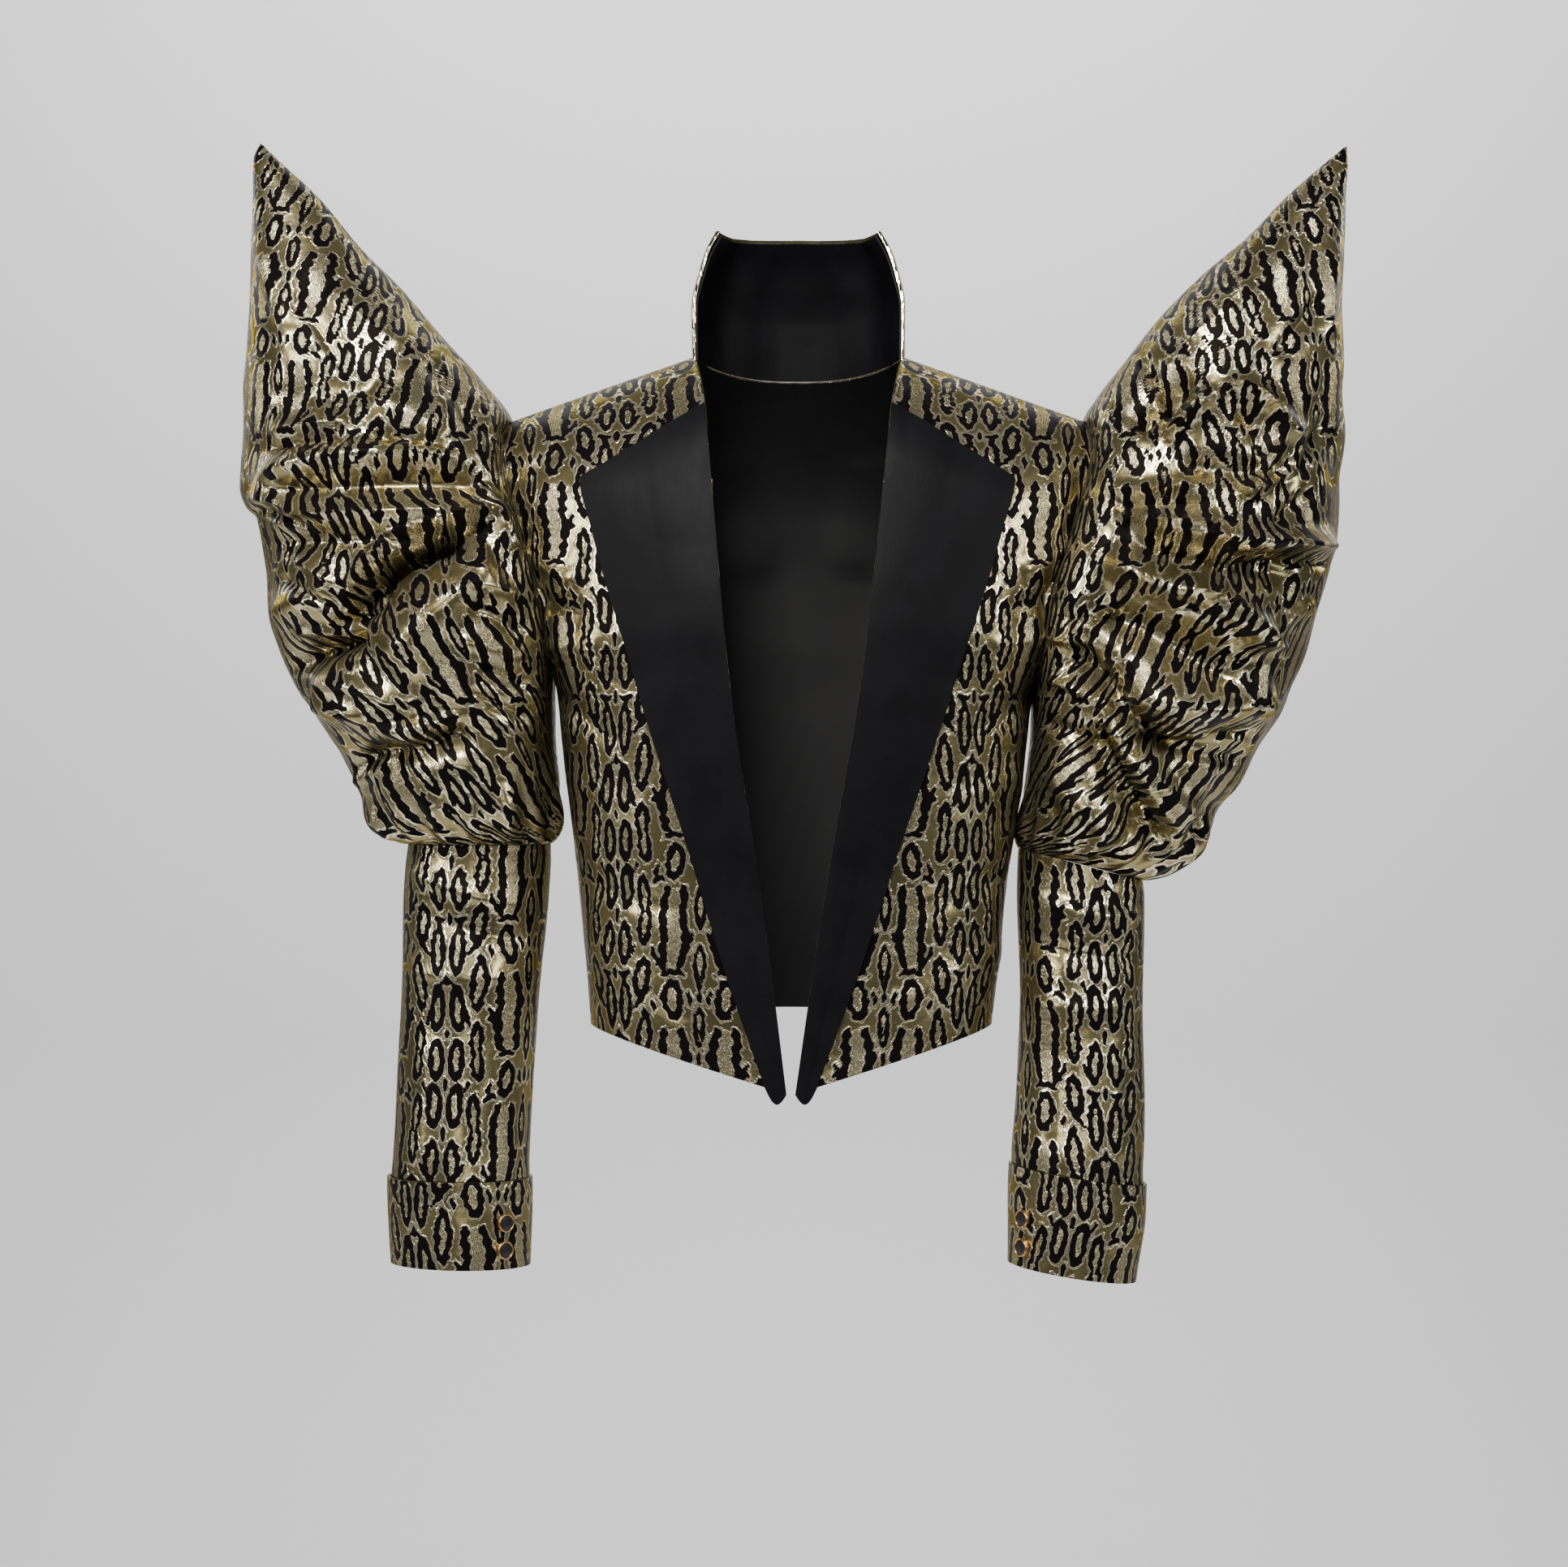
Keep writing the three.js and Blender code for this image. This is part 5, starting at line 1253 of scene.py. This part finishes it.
def make_back():
    """The back, in one piece, made from its two halves."""
    t = panel_rows(YOKE_ROW, 228, 40)
    neck, side = np.linspace(0, 1, 41), even_shares(88, 0.35)
    halves = [back_half(hand, t, neck, side) for hand in (-1, 1)]
    grid = np.concatenate([halves[0][:, :0:-1], halves[1]], 1)
    flat = np.zeros(grid.shape[:2], bool)
    shoulder = len(side) + 1
    flat[-1, :shoulder], flat[-1, -shoulder:] = True, True
    flat[:, 0], flat[:, -1] = True, True
    u, v = cloth_places(grid, grid.shape[1] // 2)
    make_panel("back", grid, 1, flat, u, v + BACK_START)


def make_lapel(hand):
    """Lapel on its front: the front's face moved out, a little fuller at the roll, with its point below the hem."""
    name = "right_lapel" if hand < 0 else "left_lapel"
    t, share = np.linspace(0, GORGE_ROW, LAPEL_ROWS), np.linspace(0, 1, LAPEL_COLUMNS)
    grid = front_grid(hand, t, share, np.zeros(0))
    normals = normals_of(grid, np.array([0, -1.0, 0]))
    rows, columns = np.arange(LAPEL_ROWS)[:, None], np.arange(LAPEL_COLUMNS)[None]
    lift = slow_waves(grid, *BODY_WAVES) * ease(np.minimum(rows * 1.5, columns * 1.25) / EDGE_FADE)
    crown = 0.9 * np.sin(math.pi * np.clip(share / 0.5, 0, 1)) ** 0.7 * (share < 0.5)
    drape = slow_waves(grid, 31 + hand, 46, 0.35)
    over = grid + normals * (lift + 0.25 + SEAM + SATIN + crown[None] + np.abs(drape))[..., None]
    under = grid + normals * (lift + SEAM * 0.9)[..., None]
    tip = LAPEL_TIP * np.sin(math.pi * share)
    fade = (1 - t / 0.6).clip(0, 1)[:, None] ** 1.5
    for face in (over, under):
        face[..., 2] -= tip[None] * np.where(rows == 0, 1, fade)
    u = np.broadcast_to(share * SATIN_ACROSS, grid.shape[:2])
    v = np.broadcast_to((t * SATIN_DOWN)[:, None], grid.shape[:2])
    piece = wall_mesh(f"{name}_satin", over, under[::TRIM_STEP, ::TRIM_STEP], TRIM_STEP, u, v)
    place(piece, name, "satin", "black_satin")
    soften(piece, 0.0006)
    cut_of(over)


def neckline(count):
    """The line under the collar: up the right front's edge, round the back neckline, down the left front's edge. Also
    each point's share of the way from the middle of the back to an end."""
    top = panel_rows(GORGE_ROW, 12, 6)[-3:-1]
    before = [front_grid(hand, top, np.zeros(1), np.zeros(0))[:, 0] for hand in (-1, 1)]
    neck = np.linspace(0, 1, 7)
    behind = [back_half(hand, np.array([SHOULDER_ROW]), neck, np.zeros(0))[0] for hand in (-1, 1)]
    base = np.concatenate([before[0], behind[0][:0:-1], behind[1], before[1][::-1]])
    places = np.arange(len(base), dtype=float)
    t = np.linspace(0, len(base) - 1, 1200)
    path = np.stack([through(places, base[:, k], t) for k in range(3)], 1)
    even = even_places(path, count) * (len(base) - 1)
    return np.stack([through(places, base[:, k], even) for k in range(3)], 1), np.abs(2 * even / (len(base) - 1) - 1)


def collar_grid(base, ends, offset, top_cut=0.0):
    """Stand collar: the neckline carried up, leaning by its table, its front edges raked back. With its outward
    directions."""
    step = np.gradient(base, axis=0)
    outward = unit(np.stack([-step[:, 1], step[:, 0], np.zeros(len(base))], 1))
    share = np.linspace(0, 1, COLLAR_ROWS)[:, None]
    top = lerp(COLLAR_TOP_BACK, COLLAR_TOP_FRONT, ends)[None] - top_cut
    lean = through(COLLAR["share"], COLLAR["out"], share)
    grid = base[None] + outward[None] * (lean + offset)[..., None]
    grid[..., 2] = lerp(base[None, :, 2] + SEAM, top, share)
    grid[..., 1] += COLLAR_RAKE * share * ends[None] ** 4
    return grid, np.broadcast_to(outward[None], grid.shape)


def make_collar():
    """The collar's cloth, and the facing inside it."""
    base, ends = neckline(COLLAR_COLUMNS)
    outer, outward = collar_grid(base, ends, CLOTH)
    inner, _ = collar_grid(base, ends, 0.0)
    ripple = slow_waves(outer, 91, 40, 0.35)
    outer = outer + outward * ripple[..., None]
    along = running(np.linalg.norm(np.diff(base, axis=0), axis=1))
    u = np.broadcast_to(along - along[-1] / 2, outer.shape[:2])
    v = COLLAR_START - outer[..., 2]
    piece = wall_mesh("collar_cloth", outer, inner[::TRIM_STEP, ::TRIM_STEP], TRIM_STEP, u, v)
    place(piece, "collar", "jacquard", "ocelot_jacquard")
    soften(piece, 0.0007)
    cut_of(outer)
    face, outward = collar_grid(base, ends, -SEAM, top_cut=3.0)
    behind, _ = collar_grid(base, ends, -SEAM - FACING, top_cut=3.0)
    behind = behind - outward * 0.3 * np.abs(slow_waves(behind, 17, 46, 1))[..., None]
    piece = wall_mesh("collar_lining", behind, face[::TRIM_STEP, ::TRIM_STEP], TRIM_STEP, u, v)
    place(piece, "collar_facing", "satin", "black_satin")
    cut_of(behind)


def gather_lift(above, turn):
    """Gathers drawn into the elbow seam, at millimetres above it and degrees round the sleeve: bells round it, highest
    halfway up their reach, less a shallow hollow just above the seam."""
    lift = np.zeros(above.shape)
    for g in each_row(GATHERS):
        apart = np.abs((turn - g["turn"] + 180) % 360 - 180)
        rise = np.clip(above / g["reach"], 0, 1)
        lift += GATHER_GAIN * g["height"] * np.exp(-((apart / g["wide"]) ** 2)) * np.sin(math.pi * rise**0.75)
    return lift - GATHER_HOLLOW * np.sin(math.pi * np.clip(above / GATHER_HOLLOW_HIGH, 0, 1))


def make_puff(hand):
    """Upper sleeve: rings from the horn's point to the elbow seam, its folds, creases and gathers."""
    name = "right_puff" if hand < 0 else "left_puff"
    rows, folds, creases = (
        (RIGHT_PUFF, RIGHT_FOLDS, RIGHT_CREASES) if hand < 0 else (LEFT_PUFF, LEFT_FOLDS, LEFT_CREASES)
    )
    t = ring_rows(rows, PUFF_ROWS)
    plain, totals = ring_points(rows, t, PUFF_COLUMNS)
    middle = plain.mean(1, keepdims=True)
    normals = normals_of(plain, plain - middle, around=True)
    normals[0] = (0, 0, 1)
    normals[-1, :, 2] = 0
    normals = unit(normals)
    facing = np.clip(np.abs(normals[..., 1]) * FOLD_FACING, 0, 1)
    side = np.sign(plain[..., 1])
    lift = FOLD_GAIN * crease_lift(folds, plain, side, FOLD_CREST) * facing
    lift += CREASE_GAIN * crease_lift(creases, plain, side, CREASE_CREST) * facing
    turn = np.arange(PUFF_COLUMNS) * 360 / PUFF_COLUMNS
    elbow = lerp(rows["in_z"][-1], rows["out_z"][-1], (1 + np.cos(np.radians(turn))) / 2)
    above = plain[..., 2] - elbow[None]
    lift += gather_lift(above, np.broadcast_to(turn, plain.shape[:2]))
    # Unevenness, none of it at the horn's point, the elbow seam or the body: large, small and low, and of middle size
    # below the horn.
    spread = ends_fade(len(t), 30, 9)
    inside = ease((np.abs(plain[..., 0]) - np.abs(sleeve_wall(hand, plain[..., 2]))) / 25)
    lift += slow_waves(plain, 40 + hand, 64, 2.2) * spread * inside
    lift += slow_waves(plain, 50 + hand, 19, 2.4) * spread * inside * ease(1.5 - above / 60)
    lift += slow_waves(plain, 55 + hand, 26, 1.4) * spread * inside * ease((60 - plain[..., 2]) / 120)
    outer = plain + normals * lift[..., None]
    outer[0] = plain[0]
    deep = np.minimum(lowest_near(lift, PUFF_STEP, True), 0)
    deep[-1] = 0
    inner = plain - normals * (CLOTH - deep)[..., None]
    # In the horn's point the lining shrinks towards the middle of its rings, and ends a little below the point.
    shrink = ease(np.arange(len(t)) / 24)[:, None, None]
    inner = np.where(shrink < 1, lerp(lerp(middle, plain, 0.7), inner, shrink), inner)
    inner[0] = plain[0, 0] - np.array([0, 0, HORN_TIP])
    u = folded_distance(totals, PUFF_COLUMNS) + slow_waves(plain, 60 + hand, 80, 3.5)
    v = down_distance(plain)[:, None] + slow_waves(plain, 70 + hand, 80, 3.5)
    inner = inner[::PUFF_STEP, ::PUFF_STEP]
    piece = wall_mesh(f"{name}_cloth", outer, inner, PUFF_STEP, u, v, (0, 1, 0), around=True, pole=True)
    place(piece, name, "jacquard", "ocelot_jacquard", "black_lining")
    open_armhole(piece, hand)
    cut_of(outer, around=True)


def open_armhole(piece, hand):
    """Cuts the way for the arm: the body's section at the sleeve, a little inside its wall, carried along X."""
    z = np.concatenate([ARMHOLE["z"], ARMHOLE["z"][::-1]])
    before = -np.maximum(1, np.abs(body_points(ARMHOLE["x"], ARMHOLE["z"], -1)[:, 1]) - ARMHOLE_INSET)
    behind = np.maximum(1, np.abs(body_points(ARMHOLE["x"], ARMHOLE["z"], 1)[:, 1]) - ARMHOLE_INSET)
    y = np.concatenate([before, behind[::-1]])
    n = len(z)
    ends = [np.stack([np.full(n, hand * x), y, z], 1) for x in (ARMHOLE_NEAR, ARMHOLE_FAR)]
    points = np.concatenate(ends)
    i = np.arange(n)
    j = (i + 1) % n
    tube = np.concatenate([np.stack([i, j, j + n], 1), np.stack([i, j + n, i + n], 1)])
    fan = np.stack([np.zeros(n - 2, int), i[2:], i[1:-1]], 1)
    cutter = mesh_object("armhole_way", points, np.concatenate([tube, fan, fan[:, ::-1] + n]))
    cutter.data.materials.append(finish("ocelot_jacquard"))
    cut = piece.modifiers.new("armhole", "BOOLEAN")
    cut.operation, cut.object, cut.solver = "DIFFERENCE", cutter, "MANIFOLD"
    with bpy.context.temp_override(object=piece, active_object=piece, selected_objects=[piece]):
        bpy.ops.object.modifier_apply(modifier=cut.name)
    bpy.data.objects.remove(cutter)
    piece.data.set_sharp_from_angle(angle=math.radians(55))


def make_tube(name, rows, rings, count, step, seed, height, u_shift, v_start):
    """A lower sleeve or cuff: rings from seam to seam with light creases. Its motif is shifted round by u_shift and
    starts at v_start."""
    t = ring_rows(rows, rings)
    plain, totals = ring_points(rows, t, count)
    normals = normals_of(plain, plain - plain.mean(1, keepdims=True), around=True)
    normals[[0, -1], :, 2] = 0
    normals = unit(normals)
    side = np.sign(plain[..., 1] - plain[..., 1].mean(1, keepdims=True))
    facing = np.clip(np.abs(normals[..., 1]) * FOLD_FACING, 0, 1)
    lift = TUBE_GAIN * crease_lift(TUBE_CREASES, plain, side, TUBE_CREST) * facing
    lift = (lift + slow_waves(plain, seed, 60, height)) * ends_fade(rings, 8, 8)
    outer = plain + normals * lift[..., None]
    deep = np.minimum(lowest_near(lift, step, True), 0)
    inner = (plain - normals * (CLOTH - deep)[..., None])[::step, ::step]
    u = folded_distance(totals, count) + u_shift
    v = np.broadcast_to(down_distance(plain)[:, None] + v_start, u.shape)
    piece = wall_mesh(f"{name}_cloth", outer, inner, step, u, v, (0, 1, 0), around=True)
    place(piece, name, "jacquard", "ocelot_jacquard", "black_lining")
    cut_of(outer, around=True)


def make_button(name, cuff, turn, z, radius):
    """Turned button: a profile of radius and height carried round, its rim metal and its face domed."""
    rows = RIGHT_CUFF if cuff == "right_cuff" else LEFT_CUFF
    heights = -(rows["out_z"] + rows["in_z"]) / 2
    value = {n: through(heights, rows[n], np.array([-z]))[0] for n in ("out_x", "in_x", "front", "back", "middle")}

    def at(degrees):
        c, s = math.cos(math.radians(degrees)), math.sin(math.radians(degrees))
        deep = value["front"] if s > 0 else value["back"]
        return np.array([lerp(value["in_x"], value["out_x"], (1 + c) / 2), value["middle"] - deep * s, z])

    step = at(turn + 1) - at(turn - 1)
    out = unit(np.array([-step[1], step[0], 0.0]))
    out = -out if out[1] > 0 else out
    profile, count = BUTTON_PROFILE, 48
    angle = np.arange(count) * 2 * math.pi / count
    side = unit(np.cross(out, [0, 0, 1.0]))
    ring = np.cos(angle)[:, None] * side + np.sin(angle)[:, None] * np.array([0, 0, 1.0])
    middle = at(turn) + out * SEAM
    grid = middle + profile[1:-1, None, 0:1] * radius * ring[None] + profile[1:-1, None, 1:2] * out
    points = np.concatenate([[middle], grid.reshape(-1, 3), [middle + out * profile[-1, 1]]])
    ids = 1 + np.arange(grid.shape[0] * count).reshape(-1, count)
    ids = np.concatenate([ids, ids[:, :1]], 1)
    walls = quads(ids)
    walls = np.concatenate([walls[:, [0, 1, 2]], walls[:, [0, 2, 3]]])
    foot = np.stack([np.zeros(count, int), ids[0, 1:], ids[0, :-1]], 1)
    cap = np.stack([np.full(count, len(points) - 1), ids[-1, :-1], ids[-1, 1:]], 1)
    piece = mesh_object(f"{name}_turned", points, np.concatenate([walls, foot, cap]), sharp=60)
    metal = np.concatenate([[1.0], np.repeat(profile[1:-1, 2], count), [0.0]])
    piece.data.attributes.new("metal", "FLOAT", "POINT").data.foreach_set("value", metal.astype(np.float32))
    place(piece, name, "button", "button_metal")


# ------------------------------------------------------------------------------------------------ add-on


class JacketCloth(bpy.types.PropertyGroup):
    ground: bpy.props.FloatVectorProperty(
        name="Ground", description="Gold ground of the jacquard", subtype="COLOR", default=(0.27, 0.232, 0.115)
    )
    core: bpy.props.FloatVectorProperty(
        name="Spot middle", description="Pale ribbed middle of a spot", subtype="COLOR", default=(0.56, 0.50, 0.31)
    )
    piping_colour: bpy.props.FloatVectorProperty(
        name="Piping", description="Pale line round each spot", subtype="COLOR", default=(0.70, 0.64, 0.46)
    )
    black: bpy.props.FloatVectorProperty(
        name="Spot black", description="Black of the spots", subtype="COLOR", default=(0.004, 0.003, 0.004)
    )
    satin: bpy.props.FloatVectorProperty(
        name="Satin", description="Black of the lapels", subtype="COLOR", default=(0.0032, 0.0032, 0.0042)
    )
    button_metal: bpy.props.FloatVectorProperty(
        name="Button rim", description="Metal of the button rims", subtype="COLOR", default=(0.62, 0.36, 0.14)
    )
    piping: bpy.props.FloatProperty(
        name="Piping width", description="Width of the pale line, in millimetres on the cloth", default=1.05, min=0.2
    )


class JacketSizes(bpy.types.PropertyGroup):
    button_radius: bpy.props.FloatProperty(
        name="Button radius", description="Radius of a cuff button", default=0.0065, unit="LENGTH"
    )
    view_distance: bpy.props.FloatProperty(
        name="Camera distance", description="From the jacket's middle to the camera", default=2.6, unit="LENGTH"
    )
    floor_height: bpy.props.FloatProperty(
        name="Floor height", description="Height of the studio floor", default=-1.42, unit="LENGTH"
    )


class JACKET_OT_stage(bpy.types.Operator):
    """Makes the floor, the backdrop, the lights and the camera"""

    bl_idname = "jacket.stage"
    bl_label = "Stage"

    def execute(self, context):
        sizes = context.scene.jacket_sizes
        # Floor and backdrop: one sheet, flat, then a quarter circle up, then upright.
        radius, half, front, depth, height = 700.0, 9000.0, -1100.0, 3300.0, 4600.0
        floor = sizes.floor_height / MM
        bend = np.linspace(0, math.pi / 2, 25)
        y = np.concatenate([[front], depth - radius + radius * np.sin(bend), [depth]])
        z = np.concatenate([[floor], floor + radius - radius * np.cos(bend), [floor + height]])
        grid = np.stack(np.broadcast_arrays(np.linspace(-half, half, 3), y[:, None], z[:, None]), -1)
        sweep = mesh_object("studio_sweep", grid.reshape(-1, 3), quads(point_ids(grid, 0, False, False)))
        if sweep.data.polygons[0].normal.z < 0:
            sweep.data.flip_normals()
        sweep.data.materials.append(studio_finish("studio_paint", (0.78, 0.78, 0.79)))

        world = bpy.data.worlds.new("studio_air")
        context.scene.world = world
        world.use_nodes = True
        background = world.node_tree.nodes["Background"]
        background.inputs["Color"].default_value = (0.86, 0.9, 1.0, 1.0)
        background.inputs["Strength"].default_value = 0.03

        # Lamps: name, place, what it points at, width and height, watts, colour.
        lamps = (
            ("key", (-0.45, -2.1, 1.6), (0, 0, -0.1), (0.66, 0.34), 118.0, (1.0, 0.965, 0.91)),
            ("left", (-1.95, -1.35, 0.42), (0, 0, -0.05), (0.34, 0.9), 27.0, (1.0, 0.975, 0.94)),
            ("right", (1.95, -1.35, 0.42), (0, 0, -0.05), (0.34, 0.9), 25.0, (1.0, 0.975, 0.94)),
            ("front", (0.3, -3.2, 0.1), (0, 0, -0.25), (1.0, 1.0), 12.0, (1.0, 0.98, 0.95)),
            ("back_left", (-1.6, 1.4, 0.7), (0, 0, -0.2), (0.4, 1.0), 14.0, (0.95, 0.97, 1.0)),
            ("back_right", (1.6, 1.4, 0.7), (0, 0, -0.2), (0.4, 1.0), 14.0, (0.95, 0.97, 1.0)),
            ("wall", (0.0, 1.8, 1.9), (0, 3.3, -0.5), (2.8, 0.5), 88.0, (1.0, 1.0, 1.0)),
        )
        for name, where, target, size, power, colour in lamps:
            data = bpy.data.lights.new(name, "AREA")
            data.shape, data.size, data.size_y, data.energy, data.color = "RECTANGLE", *size, power, colour
            lamp = bpy.data.objects.new(name, data)
            lamp.location = where
            lamp.rotation_euler = (Vector(target) - Vector(where)).to_track_quat("-Z", "Y").to_euler()
            context.collection.objects.link(lamp)

        data = bpy.data.cameras.new("view")
        data.lens, data.sensor_width, data.sensor_fit = 83.5, 36.0, "HORIZONTAL"
        data.clip_end = 30.0
        camera = bpy.data.objects.new("view", data)
        camera.location = (-0.0104, -sizes.view_distance, -0.3048)
        camera.rotation_euler = (math.pi / 2, 0, 0)
        context.collection.objects.link(camera)
        context.scene.camera = camera
        return {"FINISHED"}


class JACKET_OT_body(bpy.types.Operator):
    """Makes the two fronts and the back"""

    bl_idname = "jacket.body"
    bl_label = "Fronts and back"

    def execute(self, context):
        for hand in (-1, 1):
            make_front(hand)
        make_back()
        return {"FINISHED"}


class JACKET_OT_lapels(bpy.types.Operator):
    """Makes the satin lapels on the fronts"""

    bl_idname = "jacket.lapels"
    bl_label = "Lapels"

    def execute(self, context):
        for hand in (-1, 1):
            make_lapel(hand)
        return {"FINISHED"}


class JACKET_OT_collar(bpy.types.Operator):
    """Makes the stand collar and its facing"""

    bl_idname = "jacket.collar"
    bl_label = "Collar"

    def execute(self, context):
        make_collar()
        return {"FINISHED"}


class JACKET_OT_upper_sleeves(bpy.types.Operator):
    """Makes the horned upper sleeves"""

    bl_idname = "jacket.upper_sleeves"
    bl_label = "Upper sleeves"

    def execute(self, context):
        for hand in (-1, 1):
            make_puff(hand)
        return {"FINISHED"}


class JACKET_OT_lower_sleeves(bpy.types.Operator):
    """Makes the lower sleeves and the cuffs"""

    bl_idname = "jacket.lower_sleeves"
    bl_label = "Lower sleeves and cuffs"

    def execute(self, context):
        make_tube("right_sleeve", RIGHT_SLEEVE, 145, 192, 6, 12, 1.0, -66, 12)
        make_tube("left_sleeve", LEFT_SLEEVE, 145, 186, 6, 13, 1.0, -58, 96)
        make_tube("right_cuff", RIGHT_CUFF, 41, 200, 5, 14, 0.35, -48, 262)
        make_tube("left_cuff", LEFT_CUFF, 41, 200, 5, 15, 0.35, -84, 340)
        return {"FINISHED"}


class JACKET_OT_buttons(bpy.types.Operator):
    """Makes the cuff buttons"""

    bl_idname = "jacket.buttons"
    bl_label = "Buttons"

    def execute(self, context):
        for row in BUTTON_ROWS:
            make_button(*row, context.scene.jacket_sizes.button_radius / MM)
        return {"FINISHED"}


OPERATORS = (
    JACKET_OT_stage,
    JACKET_OT_body,
    JACKET_OT_lapels,
    JACKET_OT_collar,
    JACKET_OT_upper_sleeves,
    JACKET_OT_lower_sleeves,
    JACKET_OT_buttons,
)


class JACKET_PT_panel(bpy.types.Panel):
    """Lists the jacket's sizes, colours and makers"""

    bl_label = "Court Jacket"
    bl_space_type = "VIEW_3D"
    bl_region_type = "UI"
    bl_category = "Jacket"

    def draw(self, context):
        for group in (context.scene.jacket_cloth, context.scene.jacket_sizes):
            for name in group.bl_rna.properties.keys():
                if name not in ("rna_type", "name"):
                    self.layout.prop(group, name)
        for maker in OPERATORS:
            self.layout.operator(maker.bl_idname)


CLASSES = (JacketCloth, JacketSizes, *OPERATORS, JACKET_PT_panel)


def register():
    for kind in CLASSES:
        bpy.utils.register_class(kind)
    bpy.types.Scene.jacket_cloth = bpy.props.PointerProperty(type=JacketCloth)
    bpy.types.Scene.jacket_sizes = bpy.props.PointerProperty(type=JacketSizes)


def unregister():
    del bpy.types.Scene.jacket_sizes, bpy.types.Scene.jacket_cloth
    for kind in reversed(CLASSES):
        bpy.utils.unregister_class(kind)


def main():
    register()
    for maker in OPERATORS:
        group, name = maker.bl_idname.split(".")
        getattr(getattr(bpy.ops, group), name)()
    bpy.context.view_layer.update()


if __name__ == "__main__":
    main()
